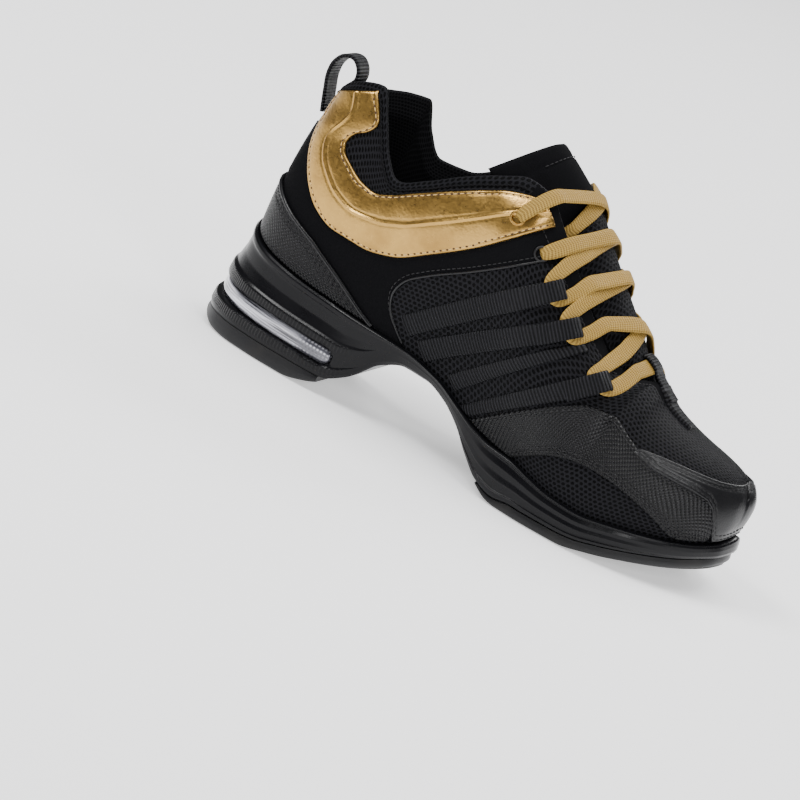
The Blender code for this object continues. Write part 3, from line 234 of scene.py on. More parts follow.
def upperTop(at):
    x = bothSides(topLine[:, 0], topLine[:, 2], topLine[:, 5], at) * shoe["length"]
    side = bothSides(topLine[:, 0], topLine[:, 3], -topLine[:, 6], at)
    z = bothSides(topLine[:, 0], topLine[:, 4], topLine[:, 7], at) * shoe["collar"]
    return np.stack((x, (along(topLine, 1, at) - side) * shoe["ball"], z), -1)


def upperPoint(at, level):
    # cubic section from the rim to the top edge: up from the rim, leaning in at the top
    at, level = np.broadcast_arrays(np.asarray(at, float), np.asarray(level, float))
    foot = lift(insetPoint(at, cupInset(at) + shoe["gap"]), rimHeight(at) + shoe["gap"])
    top, out = upperTop(at), planOutward(at)
    size = np.linalg.norm(top - foot, axis=-1, keepdims=True)
    closed = np.clip((np.abs(at) - 0.66) / 0.10, 0, 1)[..., None]
    inward = closed * unit((top - foot)[..., :2]) - (1 - closed) * out
    inward = inward / np.linalg.norm(inward, axis=-1, keepdims=True)
    run = upperTop(at + 0.006) - upperTop(at - 0.006)
    fall = np.clip(run[..., 2] / np.where(np.abs(run[..., 0]) < 1e-5, 1, run[..., 0]), -1, 1)
    fall = np.where(np.abs(at) > 21.5 / 28, fall, 0)
    fall = np.where(np.abs(at) > 0.99, -0.55, fall)
    lean, amount = along(bendLine, 1, at)[..., None], along(bendLine, 4, at)[..., None]
    start = unit(np.concatenate((out * lean, np.ones_like(lean)), -1))
    rise = 1 - amount[..., 0] + closed[..., 0] * fall * inward[..., 0]
    finish = unit(np.concatenate((inward * amount, rise[..., None]), -1))
    near = foot + start * size * along(bendLine, 2, at)[..., None]
    far = top - finish * size * along(bendLine, 3, at)[..., None]
    share = level[..., None]
    rest = 1 - share
    return foot * rest ** 3 + near * 3 * share * rest ** 2 + far * 3 * share ** 2 * rest + top * share ** 3


def upperOutward(at, level):
    at, level = np.broadcast_arrays(np.asarray(at, float), np.asarray(level, float))
    run = upperPoint(at + 0.004, level) - upperPoint(at - 0.004, level)
    climb = upperPoint(at, np.clip(level + 0.004, 0, 1)) - upperPoint(at, np.clip(level - 0.004, 0, 1))
    return unit(np.cross(run, climb))


def upperFace(at, level):
    return upperPoint(at, level), upperOutward(at, level)


def ridgePlace(x):
    # place around of a point on the vamp's ridge, by its distance from the heel
    ridge = topLine[topLine[:, 0] >= body["throatEnd"]]
    return np.interp(x / shoe["length"], ridge[:, 2], ridge[:, 0])


def spotsFromSide(points, outer=True):
    # inverse of the side view: nearest sample of the upper, then Newton steps in (around, level)
    sign = 1.0 if outer else -1.0
    tiny = 1e-3

    def sideView(at, level):
        return upperPoint(at * sign, level)[:, [0, 2]]

    flat = points.reshape(-1, 2)
    grids = np.meshgrid(np.linspace(0.02, 0.99, 90), np.linspace(0, 1, 30))
    atGrid, levelGrid = [grid.ravel() for grid in grids]
    sample = sideView(atGrid, levelGrid)
    nearest = np.concatenate([np.argmin(((part[:, None] - sample) ** 2).sum(-1), 1)
                              for part in np.array_split(flat, max(1, len(flat) // 2000))])
    at, level = atGrid[nearest].copy(), levelGrid[nearest].copy()
    for _ in range(7):
        here = sideView(at, level)
        byAt = (sideView(at + tiny, level) - here) / tiny
        inside = np.clip(level, 0, 0.999)
        byLevel = (sideView(at, inside + tiny) - sideView(at, inside)) / tiny
        miss = flat - here
        area = byAt[:, 0] * byLevel[:, 1] - byAt[:, 1] * byLevel[:, 0]
        area = np.where(np.abs(area) < 1e-6, 1e-6, area)
        stepAt = (miss[:, 0] * byLevel[:, 1] - miss[:, 1] * byLevel[:, 0]) / area
        stepLevel = (byAt[:, 0] * miss[:, 1] - byAt[:, 1] * miss[:, 0]) / area
        at = np.clip(at + np.clip(stepAt, -0.03, 0.03), 0.01, 0.999)
        level = np.clip(level + np.clip(stepLevel, -0.08, 0.08), 0.004, 1)
    return (at * sign).reshape(points.shape[:-1]), level.reshape(points.shape[:-1])


def levelAt(at, height):
    # level where the section at a place has the height
    at, height = np.broadcast_arrays(np.asarray(at, float), np.asarray(height, float))
    count = 60
    steps = np.linspace(0, 1, count + 1)
    heights = upperPoint(at[..., None], steps)[..., 2]
    over = np.argmax(heights >= height[..., None], -1)
    over = np.where(heights[..., -1] < height, count, np.maximum(over, 1))
    low = np.take_along_axis(heights, (over - 1)[..., None], -1)[..., 0]
    high = np.take_along_axis(heights, over[..., None], -1)[..., 0]
    share = (height - low) / np.maximum(high - low, 1e-6)
    return np.clip(steps[over - 1] + share / count, 0.004, 1)


# materials
def newMaterial(name, color, rough, metal=0.0, **sockets):
    made = bpy.data.materials.new(name)
    made.use_nodes = True
    tree = made.node_tree
    shader = tree.nodes["Principled BSDF"]
    shader.inputs["Base Color"].default_value = (*color, 1)
    shader.inputs["Roughness"].default_value = rough
    shader.inputs["Metallic"].default_value = metal
    for key, value in sockets.items():
        shader.inputs[key.replace("_", " ")].default_value = value
    return made, tree, shader


def join(tree, value, socket):
    if isinstance(value, bpy.types.NodeSocket):
        tree.links.new(value, socket)
    else:
        socket.default_value = value


def calc(tree, operation, *values):
    node = tree.nodes.new("ShaderNodeMath")
    node.operation = operation
    for value, socket in zip(values, node.inputs):
        join(tree, value, socket)
    return node.outputs[0]


def uvOf(tree):
    node = tree.nodes.new("ShaderNodeSeparateXYZ")
    tree.links.new(tree.nodes.new("ShaderNodeUVMap").outputs[0], node.inputs[0])
    return node.outputs[0], node.outputs[1]


def objectOf(tree):
    return tree.nodes.new("ShaderNodeTexCoord").outputs["Object"]


def noise(tree, scale, detail=3.0, rough=0.5, where=None):
    node = tree.nodes.new("ShaderNodeTexNoise")
    for key, value in (("Scale", scale), ("Detail", detail), ("Roughness", rough)):
        node.inputs[key].default_value = value
    tree.links.new(where or objectOf(tree), node.inputs["Vector"])
    return node.outputs["Fac"]


def cells(tree, scale):
    node = tree.nodes.new("ShaderNodeTexVoronoi")
    node.inputs["Scale"].default_value = scale
    tree.links.new(objectOf(tree), node.inputs["Vector"])
    return node.outputs["Distance"]


def attributeOf(tree, name):
    node = tree.nodes.new("ShaderNodeAttribute")
    node.attribute_name = name
    return node.outputs["Fac"]


def ramp(tree, value, low, high, start=0.0, end=1.0):
    node = tree.nodes.new("ShaderNodeMapRange")
    node.interpolation_type = "SMOOTHSTEP"
    for socket, number in zip(node.inputs[1:5], (low, high, start, end)):
        socket.default_value = number
    join(tree, value, node.inputs[0])
    return node.outputs[0]


def mixColor(tree, share, one, two):
    node = tree.nodes.new("ShaderNodeMix")
    node.data_type = "RGBA"
    join(tree, share, node.inputs[0])
    for value, socket in ((one, node.inputs[6]), (two, node.inputs[7])):
        join(tree, value if isinstance(value, bpy.types.NodeSocket) else (*value, 1), socket)
    return node.outputs[2]


def addBump(tree, shader, height, distance, strength=1.0, after=None):
    node = tree.nodes.new("ShaderNodeBump")
    node.inputs["Strength"].default_value = strength
    node.inputs["Distance"].default_value = distance
    join(tree, height, node.inputs["Height"])
    if after:
        tree.links.new(after, node.inputs["Normal"])
    tree.links.new(node.outputs[0], shader.inputs["Normal"])
    return node.outputs[0]


def linkLook(tree, shader, color, rough=None):
    tree.links.new(color, shader.inputs["Base Color"])
    if rough:
        tree.links.new(rough, shader.inputs["Roughness"])


def wave(tree, coordinate, pitch):
    # 0 to 1 and back once in each pitch
    swing = calc(tree, "SINE", calc(tree, "MULTIPLY", coordinate, 2 * np.pi / pitch))
    return calc(tree, "MULTIPLY_ADD", swing, 0.5, 0.5)


def holes(tree, across, up, pitchAcross, pitchUp, radius):
    # rows of oval holes, each second row shifted by half a pitch: 1 inside a hole, 0 on the threads
    away = 4000.0  # keeps the counts positive on both sides of the shoe
    row = calc(tree, "ADD", calc(tree, "DIVIDE", up, pitchUp), away)
    odd = calc(tree, "FLOOR", calc(tree, "MODULO", calc(tree, "FLOOR", row), 2.0))
    column = calc(tree, "ADD", calc(tree, "DIVIDE", across, pitchAcross), calc(tree, "MULTIPLY", odd, 0.5))
    x = calc(tree, "SUBTRACT", calc(tree, "FRACT", calc(tree, "ADD", column, away)), 0.5)
    y = calc(tree, "SUBTRACT", calc(tree, "FRACT", row), 0.5)
    far = calc(tree, "SQRT", calc(tree, "ADD", calc(tree, "MULTIPLY", x, x), calc(tree, "MULTIPLY", y, y)))
    return ramp(tree, far, radius, radius * 0.62)


soleLook = dict(color=(.003, .003, .004), rough=.24, coat=.05, grain=900.0, knurlPitch=.0016)
windowLook = dict(middle=.292, halfHeight=.0040, end=.327, uvMiddle=.0042, grid=.0016)
goldLook = dict(color=(.50, .295, .072), shade=(.34, .19, .042), rough=.30)


def makeSoleBlack():
    made, tree, shader = newMaterial("soleBlack", soleLook["color"], soleLook["rough"],
                                     Coat_Weight=soleLook["coat"], Coat_Roughness=.12, Specular_IOR_Level=.16)
    ticks = wave(tree, uvOf(tree)[0], soleLook["knurlPitch"])
    knurl = calc(tree, "MULTIPLY", attributeOf(tree, "knurl"), ticks)
    first = addBump(tree, shader, knurl, .00035, .9)
    addBump(tree, shader, noise(tree, soleLook["grain"], 2), .00005, .5, first)
    worn = noise(tree, 45, 4)
    linkLook(tree, shader, mixColor(tree, worn, soleLook["color"], (.005, .005, .006)),
             ramp(tree, worn, .3, .75, .22, .34))
    return made


def makeTreadBlack():
    made, tree, shader = newMaterial("treadBlack", (.008, .008, .009), .40, Specular_IOR_Level=.30)
    dust = noise(tree, 60, 5)
    addBump(tree, shader, noise(tree, 1400, 2), .00006, .6)
    dusty = mixColor(tree, ramp(tree, dust, .45, .8), (.006, .006, .007), (.015, .014, .013))
    linkLook(tree, shader, dusty, ramp(tree, dust, .3, .8, .36, .55))
    return made


def makeWindowClear():
    # clear strip over silver: long streaks, a fine grid at its front end and dark edges
    made, tree, shader = newMaterial("windowClear", (.5, .5, .55), .10, .35, Coat_Weight=1.0,
                                     Coat_Roughness=.04)
    across, up = uvOf(tree)
    where = tree.nodes.new("ShaderNodeCombineXYZ")
    join(tree, calc(tree, "MULTIPLY", across, 30.0), where.inputs[0])
    join(tree, calc(tree, "MULTIPLY", up, 900.0), where.inputs[1])
    streak = noise(tree, 1.0, 4, .6, where.outputs[0])
    grid = calc(tree, "MULTIPLY", *(wave(tree, way, windowLook["grid"]) for way in (across, up)))
    front = ramp(tree, calc(tree, "ABSOLUTE", across), .076, .084)
    off = calc(tree, "ABSOLUTE", calc(tree, "SUBTRACT", up, windowLook["uvMiddle"]))
    silver = mixColor(tree, ramp(tree, streak, .35, .7), (.035, .035, .045), (.80, .80, .88))
    lines = calc(tree, "MULTIPLY", front, calc(tree, "SUBTRACT", 1.0, grid))
    withGrid = mixColor(tree, lines, silver, (.10, .10, .12))
    linkLook(tree, shader, mixColor(tree, ramp(tree, off, .0026, .0040), withGrid, (.012, .012, .014)))
    addBump(tree, shader, streak, .0002, .4)
    return made


def makeLining():
    # padded knit: small interlocked loops in rows
    made, tree, shader = newMaterial("liningKnit", (.008, .008, .009), .9, Specular_IOR_Level=.06)
    loops = holes(tree, *uvOf(tree), .0018, .0013, .42)
    # painted shade: the holes between the knit's loops are coloured darker than the loops
    linkLook(tree, shader, mixColor(tree, loops, (.009, .009, .010), (.002, .002, .0025)))
    first = addBump(tree, shader, calc(tree, "SUBTRACT", 1.0, loops), .0004, .8)
    addBump(tree, shader, noise(tree, 260, 3), .0003, .35, first)
    return made


def makeUpperCloth():
    # zone over 0 is open mesh, below 0 is brushed cloth; the distance is in millimetres
    made, tree, shader = newMaterial("upperCloth", (.006, .006, .007), .8, Specular_IOR_Level=.06)
    across, up = uvOf(tree)
    zone = ramp(tree, attributeOf(tree, "zone"), -.15, .15)
    hole = holes(tree, across, up, .0024, .0017, .40)
    nap = noise(tree, 1900, 3)
    # painted shade: the mesh's holes are coloured near black, darker than the lining seen through them, and
    # the threads round them lighter
    threadsAndHoleShade = mixColor(tree, hole, (.011, .011, .013), (.0008, .0008, .001))
    cloth = mixColor(tree, nap, (.002, .002, .0025), (.006, .006, .007))
    linkLook(tree, shader, mixColor(tree, zone, cloth, threadsAndHoleShade), ramp(tree, zone, 0, 1, .92, .55))
    relief = calc(tree, "MULTIPLY", zone, calc(tree, "SUBTRACT", 1.0, hole))
    first = addBump(tree, shader, relief, .0006, 1.0)
    weave = calc(tree, "MULTIPLY", wave(tree, across, .0006), wave(tree, up, .0006))
    second = addBump(tree, shader, weave, .00007, .5, first)
    addBump(tree, shader, nap, .00012, .45, second)
    return made


def makeTextured():
    # embossed sheet: small raised squares in a basket weave under a satin skin
    made, tree, shader = newMaterial("texturedSkin", (.005, .005, .006), .30, Specular_IOR_Level=.26)
    across, up = uvOf(tree)
    slants = [calc(tree, way, across, up) for way in ("ADD", "SUBTRACT")]
    weave = calc(tree, "MULTIPLY", *(wave(tree, slant, .0018) for slant in slants))
    first = addBump(tree, shader, weave, .0005, 1.0)
    addBump(tree, shader, noise(tree, 120, 3), .0004, .25, first)
    # painted shade and highlight: the colour follows the relief, near black in the hollows between the
    # squares and lighter on their raised tops
    linkLook(tree, shader, mixColor(tree, weave, (.0005, .0005, .0007), (.011, .011, .014)),
             ramp(tree, weave, 0, 1, .42, .24))
    return made


def makeSmooth():
    made, tree, shader = newMaterial("smoothSkin", (.005, .005, .006), .32, Specular_IOR_Level=.34)
    soft = noise(tree, 90, 4)
    first = addBump(tree, shader, cells(tree, 1300), .00009, .5)
    addBump(tree, shader, soft, .0006, .3, first)
    linkLook(tree, shader, mixColor(tree, soft, (.003, .003, .004), (.008, .008, .009)),
             ramp(tree, soft, .3, .7, .26, .38))
    return made


def makeWebbing():
    # ribs across the band, each with fine threads along it
    made, tree, shader = newMaterial("webbingBlack", (.007, .007, .008), .45, Specular_IOR_Level=.12)
    length, width = uvOf(tree)
    rib = wave(tree, length, .0014)
    first = addBump(tree, shader, rib, .00045, 1.0)
    addBump(tree, shader, wave(tree, width, .0005), .00006, .5, first)
    # painted shade and highlight: the colour follows the ribs, near black in the grooves between them and
    # lighter on their crests
    linkLook(tree, shader, mixColor(tree, rib, (.001, .001, .0013), (.017, .017, .020)),
             ramp(tree, noise(tree, 300, 3), .3, .7, .40, .56))
    return made


def makeGold():
    # metal foil on soft leather: a fine pebble grain and a slight mottle
    made, tree, shader = newMaterial("goldLeather", goldLook["color"], goldLook["rough"], 1.0,
                                     Coat_Weight=.35, Coat_Roughness=.28)
    mottle = noise(tree, 70, 5, .6)
    fine = noise(tree, 700, 4)
    linkLook(tree, shader, mixColor(tree, ramp(tree, mottle, .35, .8), goldLook["color"], goldLook["shade"]),
             ramp(tree, fine, .2, .8, .26, .38))
    first = addBump(tree, shader, mottle, .0009, .45)
    second = addBump(tree, shader, cells(tree, 1000), .00010, .35, first)
    addBump(tree, shader, fine, .00004, .25, second)
    return made


def makeLace():
    # flat woven lace: ribs across its length, slightly slanted to both edges
    made, tree, shader = newMaterial("laceGold", (.42, .26, .06), .60, Specular_IOR_Level=.25)
    length, width = uvOf(tree)
    slant = calc(tree, "ADD", length, calc(tree, "MULTIPLY", calc(tree, "ABSOLUTE", width), .25))
    rib = calc(tree, "MULTIPLY", wave(tree, slant, .0013), .6)
    both = calc(tree, "MULTIPLY_ADD", wave(tree, width, .0008), .4, rib)
    addBump(tree, shader, both, .00030, .9)
    # painted shade and highlight: the lace's colour follows its ribs, dark in the grooves and light on the
    # crests; the worn noise over it is random wear
    ribShadedLace = mixColor(tree, both, (.16, .088, .014), (.49, .31, .068))
    worn = ramp(tree, noise(tree, 130, 3), .4, .8, 0, .3)
    linkLook(tree, shader, mixColor(tree, worn, ribShadedLace, (.32, .19, .04)))
    return made


def makeThread(name, color, rough, metal=0.0):
    made, tree, shader = newMaterial(name, color, rough, metal)
    twist = noise(tree, 2500, 2)
    addBump(tree, shader, twist, .00008, .6)
    dark, pale = (tuple(min(1, part * much) for part in color) for much in (.6, 1.5))
    linkLook(tree, shader, mixColor(tree, twist, dark, pale))
    return made


upperCloth = makeUpperCloth()
looks = {"sole_foam": makeSoleBlack(), "tread_rubber": makeTreadBlack(), "clear_window": makeWindowClear(),
         "lining": makeLining(), "knit": upperCloth, "upper_fabric": upperCloth,
         "textured_overlay": makeTextured(), "smooth_overlay": makeSmooth(), "webbing": makeWebbing(),
         "gold_leather": makeGold(), "lace": makeLace()}
threadBlack = makeThread("threadBlack", (.007, .007, .008), .75)
threadGold = makeThread("threadGold", (.62, .42, .17), .4, .3)
holeBrown = makeThread("needleHole", (.055, .025, .008), .8)
print("materials made")


# mesh builders
def addMesh(name, points, faces, uvs, slot, replaces=(), zones=None, look=None, faceLooks=None):
    # one piece from arrays: points, four-cornered faces and a UV pair for each face corner
    mesh = bpy.data.meshes.new(name)
    placed = np.asarray(points, float).reshape(-1, 3) - (shoe["originAt"], 0, 0)
    mesh.from_pydata(placed.tolist(), [], faces.tolist())
    layer = mesh.uv_layers.new(name="UVMap")
    layer.data.foreach_set("uv", np.asarray(uvs, np.float32).ravel())
    for key, values in (zones or {}).items():
        zone = mesh.attributes.new(key, "FLOAT", "POINT")
        zone.data.foreach_set("value", np.asarray(values, np.float32).ravel())
    if faceLooks is not None:
        mesh.polygons.foreach_set("material_index", np.asarray(faceLooks, np.int32))
    work = bmesh.new()
    work.from_mesh(mesh)
    bmesh.ops.remove_doubles(work, verts=work.verts, dist=2e-6)
    bmesh.ops.dissolve_degenerate(work, edges=work.edges, dist=1e-7)
    bmesh.ops.recalc_face_normals(work, faces=work.faces)
    work.to_mesh(mesh)
    work.free()
    mesh.shade_smooth()
    mesh.set_sharp_from_angle(angle=1.0)
    for material in look or [looks[slot]]:
        mesh.materials.append(material)
    made = bpy.data.objects.new(name, mesh)
    bpy.context.scene.collection.objects.link(made)
    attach(made, "root")
    if replaces:
        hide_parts(*replaces)
    return made


def gridParts(points, uv, wrapRows=False, keep=None):
    # faces and corner UVs of a grid whose columns close up; uv has one more column, and row if rows wrap
    rows, columns = points.shape[:2]
    i, j = np.meshgrid(np.arange(rows if wrapRows else rows - 1), np.arange(columns), indexing="ij")
    i, j = i.ravel(), j.ravel()
    if keep is not None:
        chosen = keep[i, j]
        i, j = i[chosen], j[chosen]
    a, b = i[:, None] + [0, 0, 1, 1], j[:, None] + [0, 1, 1, 0]
    return (a % rows) * columns + b % columns, uv[a, b], i


def addGrid(name, points, uv, slot, replaces=(), wrapRows=False, zones=None):
    faces, corners, _ = gridParts(points, uv, wrapRows)
    return addMesh(name, points, faces, corners, slot, replaces, zones)


def addPillow(name, middle, outward, up, uv, slot, replaces=(), down=None, zones=None):
    # closed sheet: the middle lifted by up and lowered by down, which are both 0 at its rim
    high = middle + outward * up[..., None]
    low = middle if down is None else middle - outward * down[..., None]
    ring = np.concatenate((high, low[:, ::-1]), 1)
    both = np.concatenate((uv, uv[:, ::-1], uv[:, :1]), 1)
    if zones:
        zones = {key: np.concatenate((values, values[:, ::-1]), 1) for key, values in zones.items()}
    return addGrid(name, ring, both, slot, replaces, zones=zones)


def addSweep(name, path, normals, profile, slot, replaces=(), scale=None, closed=False):
    # profile (across, up) carried along the path: across lies square to the path and the normal,
    # and open ends shrink to a point
    ahead = unit(np.roll(path, -1, 0) - np.roll(path, 1, 0)) if closed else unit(np.gradient(path, axis=0))
    side = unit(np.cross(ahead, normals))
    over = unit(np.cross(side, ahead))
    scale = np.ones((len(path), 2)) if scale is None else scale
    points = (path[:, None] + side[:, None] * profile[None, :, :1] * scale[:, None, :1]
              + over[:, None] * profile[None, :, 1:] * scale[:, None, 1:])
    length = runLength(path)
    if closed:
        length = np.append(length, length[-1] + np.linalg.norm(path[0] - path[-1]))
    else:
        points = np.concatenate((points[:1] * 0 + path[0], points, points[-1:] * 0 + path[-1]))
        length = np.concatenate((length[:1], length, length[-1:]))
    across = np.append(profile[:, 0], profile[0, 0])
    uv = np.stack(np.broadcast_arrays(length[:, None], across[None, :]), -1)
    return addGrid(name, points, uv, slot, replaces, closed)


def flatProfile(width, thick, count=7):
    # outline of a flat band: straight faces joined by half circles
    half = width / 2 - thick / 2
    spots = np.linspace(-half, half, count)
    turn = np.linspace(-np.pi / 2, np.pi / 2, 5)[1:-1]
    right = np.stack((half + np.cos(turn) * thick / 2, np.sin(turn) * thick / 2), 1)
    left = np.stack((-half - np.cos(turn) * thick / 2, -np.sin(turn) * thick / 2), 1)
    low = np.stack((spots, np.full(count, -thick / 2)), 1)
    high = np.stack((spots[::-1], np.full(count, thick / 2)), 1)
    return np.concatenate((low, right, high, left))


def roundProfile(radius, count=8):
    turn = np.arange(count) / count * 2 * np.pi
    return np.stack((np.cos(turn), np.sin(turn)), 1) * radius


def addBeads(name, centres, ahead, normals, half, slot, look):
    # one small ellipsoid on each centre: half lengths along, across and up
    rings, sides = 5, 6
    polar = np.linspace(0, np.pi, rings)[:, None]
    turn = np.arange(sides)[None] / sides * 2 * np.pi
    ball = (np.cos(polar), np.sin(polar) * np.cos(turn), np.sin(polar) * np.sin(turn))
    base = np.stack(np.broadcast_arrays(*ball), -1) * np.asarray(half)
    side = unit(np.cross(normals, ahead))
    over = unit(np.cross(ahead, side))
    axes = np.stack((unit(ahead), side, over), 1)
    points = centres[:, None, None] + np.einsum("rsk,nkd->nrsd", base, axes)
    faces, corners, _ = gridParts(base, np.zeros((rings, sides + 1, 2)))
    faces = (faces[None] + np.arange(len(centres))[:, None, None] * rings * sides).reshape(-1, 4)
    return addMesh(name, points, faces, np.tile(corners, (len(centres), 1, 1)), slot, look=[look])


stitchRuns = {"black": [], "gold": []}


def stitchAlong(color, path, normals, pitch):
    # remembers a row of stitches on a path with its surface normals
    row = np.concatenate((path, normals), 1)
    run = runLength(path)
    spots = np.linspace(0, run[-1], max(3, int(round(run[-1] / pitch)) + 1))
    stitchRuns[color].append(np.stack([np.interp(spots, run, row[:, k]) for k in range(6)], 1))


# sole

def windowBeyond(at):
    # distance along the wall past the centre of the window's round end
    past = np.abs(at) - windowLook["end"] + windowLook["halfHeight"] / body["around"]
    return np.maximum(past, 0) * body["around"]


def windowAmount(at, share, height):
    # 1 inside the window's pill outline, 0 outside it, over half a millimetre
    off = np.hypot(windowBeyond(at), (share - windowLook["middle"]) * height)
    return np.clip((windowLook["halfHeight"] + .0003 - off) / .0005, 0, 1)


def makeMidsole():
    # one ring for each place from heel to toe: under the sole, up one side, over the cup, down the other
    places = crowd(np.linspace(0, 1, 281))
    ribEdges = [.150, .158, .172, .178, .192, .388, .394, .407, .413]
    shares = np.concatenate((np.linspace(0, 1, 47), wallSteps[:, 0], wallSteps[:, 0] + .008, ribEdges))
    shares = np.unique(np.round(shares.clip(0, 1), 4))
    sides, knurls, heights = {}, {}, {}
    for sign in (1, -1):
        spots = places[:, None] * sign
        low, high = midsoleBottom(spots), rimHeight(spots)
        share = shares[None, :]
        inset = sideInset(spots, share) + sole["recess"] * windowAmount(spots, share, high - low)
        wall = lift(insetPoint(np.broadcast_to(spots, inset.shape), inset), low + (high - low) * share)
        edge = cupInset(spots)
        lip = lift(insetPoint(spots, edge), high)
        floor = lift(insetPoint(spots, edge), floorHeight(spots))
        sides[sign] = np.concatenate((wall, lip, floor), 1)
        ticks = (softStep((share - .05) / .02) * softStep((.165 - share) / .02)
                 + softStep((share - .43) / .02) * softStep((.55 - share) / .02))
        ticks = ticks * softStep((.36 - np.abs(spots)) / .03)
        knurls[sign] = np.concatenate((ticks, ticks[:, -2:] * 0), 1)
        heights[sign] = np.concatenate((np.broadcast_to(share, inset.shape), np.ones((len(places), 2))), 1)
    under = np.linspace(0, 1, 14)[None, 1:-1, None]
    bottom = sides[1][:, :1] * (1 - under) + sides[-1][:, :1] * under
    cup = sides[-1][:, -1:] * (1 - under) + sides[1][:, -1:] * under
    points = np.concatenate((bottom, sides[-1], cup, sides[1][:, ::-1]), 1)
    blank = np.zeros((len(places), 12))
    knurl = np.concatenate((blank, knurls[-1], blank, knurls[1][:, ::-1]), 1)
    up = np.concatenate((blank, heights[-1], blank + 1, heights[1][:, ::-1]), 1) * .035
    uv = np.stack((np.broadcast_to((places * body["around"])[:, None], up.shape), up), -1)
    uv = np.concatenate((uv, uv[:, :1]), 1)
    addGrid("midsoleShell", points, uv, "sole_foam", ("midsole",), zones={"knurl": knurl})


treadLook = dict(deep=.0012, groove=.0009, fineGroove=.0007, stud=.0034)


def valley(distance, half):
    # rounded groove: 1 at its middle, 0 from half on
    return softStep(1.35 - np.abs(distance) / half * 1.35)


def treadDepth(x, y):
    # how far the tread's grooves, rings, studs and leaves reach up at a place in plan
    forward, aside = x / shoe["length"], y / shoe["ball"]
    depth = np.zeros(np.broadcast(x, y).shape)
    discs = (((.135, 0), (.062, .155), (1, 1.22)), ((.735, -.01), (.060, .225), (1, 1.3, 1.42)))
    for centre, radii, rings in discs:
        size = np.hypot((forward - centre[0]) / radii[0], (aside - centre[1]) / radii[1])
        for ring in rings:
            depth = np.maximum(depth, valley((size - ring) * .017, treadLook["groove"]))
        shape = (forward - centre[0]) / radii[0] * 1.6 + 2 * ((aside - centre[1]) / radii[1]) ** 2
        depth = np.maximum(depth, .35 * softStep((.62 - size) / .04) * softStep((shape + 1.4) / .1))
    for middle, sag in ((.655, -.022), (.855, .024)):
        bow = middle + sag * (1 - (aside / .36) ** 2)
        inside = softStep((.40 - np.abs(aside)) / .03)
        for shift in (-.012, 0, .012):
            groove = valley((forward - bow - shift) * shoe["length"], treadLook["groove"])
            depth = np.maximum(depth, inside * groove)
    leaves = ((.900, -.130, .020, .070), (.918, .020, .020, .060), (.928, .150, .016, .045),
              (.625, -.25, .012, .05), (.625, -.05, .012, .05), (.625, .15, .012, .05))
    for middle, side, deep, wide in leaves:
        size = np.hypot((forward - middle) / deep, (aside - side) / wide)
        depth = np.maximum(depth, softStep((1 - size) / .18))
    studs = ((.045, 0), (.060, .17), (.060, -.17), (.115, .265), (.115, -.265), (.180, .275), (.180, -.285))
    for middle, side in studs:
        far = np.hypot((forward - middle) * shoe["length"], (aside - side) * shoe["ball"])
        size = far / treadLook["stud"]
        depth = np.maximum(depth, softStep((1.05 - size) / .15) * softStep((size - .5) / .15))
    for number in range(3):
        bow = .222 + number * .013 + .006 * np.cos(aside * 20)
        groove = valley((forward - bow) * shoe["length"], treadLook["fineGroove"])
        depth = np.maximum(depth, groove * softStep((.30 - np.abs(aside)) / .03))
    return depth * treadLook["deep"]


def makeOutsole(name, first, last, node):
    # a slab that follows the ground line, with its tread pressed into the lower face
    spots = crowd(np.linspace(0, 1, 321))
    places = np.concatenate(([first], spots[(spots > first + .001) & (spots < last - .001)], [last]))
    rise = np.array([0, .04, .12, .25, .45, .7, 1])
    back = np.array([.5, .22, .0, -.14, -.2, -.12, 0])
    sides = {}
    for sign in (1, -1):
        spots = places[:, None] * sign
        ground = groundHeight(planPoint(spots)[..., 0])
        top = stationSmooth(unitTop, spots) if first > .5 else np.full(spots.shape, sole["heelTop"])
        top = np.maximum(top, ground + .0007)
        inset = np.broadcast_to(sideInset(spots, 0.0) + back * sole["rib"], (len(places), len(rise)))
        spots = np.broadcast_to(spots, inset.shape)
        sides[sign] = lift(insetPoint(spots, inset), ground + (top - ground) * rise)
    share = np.linspace(0, 1, 72)[None, 1:-1, None]
    bottom = sides[1][:, :1] * (1 - share) + sides[-1][:, :1] * share
    edge = softStep(np.minimum(share, 1 - share)[..., 0] / .06)
    bottom[..., 2] = groundHeight(bottom[..., 0]) + treadDepth(bottom[..., 0], bottom[..., 1]) * edge
    cover = sides[-1][:, -1:] * (1 - share[:, ::8]) + sides[1][:, -1:] * share[:, ::8]
    points = np.concatenate((bottom, sides[-1], cover, sides[1][:, ::-1]), 1)
    for end in (0, -1):
        if np.ptp(points[end][:, 1]) > 1e-5:
            middle = points[:1] * 0 + points[end].mean(0)
            points = np.concatenate((middle, points) if end == 0 else (points, middle))
    uv = np.zeros((points.shape[0], points.shape[1] + 1, 2))
    addGrid(name, points, uv, "tread_rubber", (node,))


def makeWindow():
    # pill-shaped strip that bulges a little out of its recess, from one side round the heel to the other
    at = np.linspace(-windowLook["end"], windowLook["end"], 261)
    share = np.sin(np.linspace(-1, 1, 19) * np.pi / 2)
    half = np.sqrt(np.maximum(windowLook["halfHeight"] ** 2 - windowBeyond(at) ** 2, 0))[:, None] * .94
    low, high = midsoleBottom(at)[:, None], rimHeight(at)[:, None]
    heightShare = windowLook["middle"] + half * share / (high - low)
    spots = np.broadcast_to(at[:, None], heightShare.shape)
    inset = sideInset(spots, heightShare) + sole["recess"] - .0003
    base = lift(insetPoint(spots, inset), low + (high - low) * heightShare)
    rim = roundEdge((1 - np.abs(share)) * half, .0016)
    uv = np.stack((spots * body["around"], half * share + windowLook["uvMiddle"]), -1)
    addPillow("heelWindow", base, lift(planOutward(spots), 0), rim * (.0011 + .0006 * (1 - share ** 2)), uv,
              "clear_window", ("heel_window",))


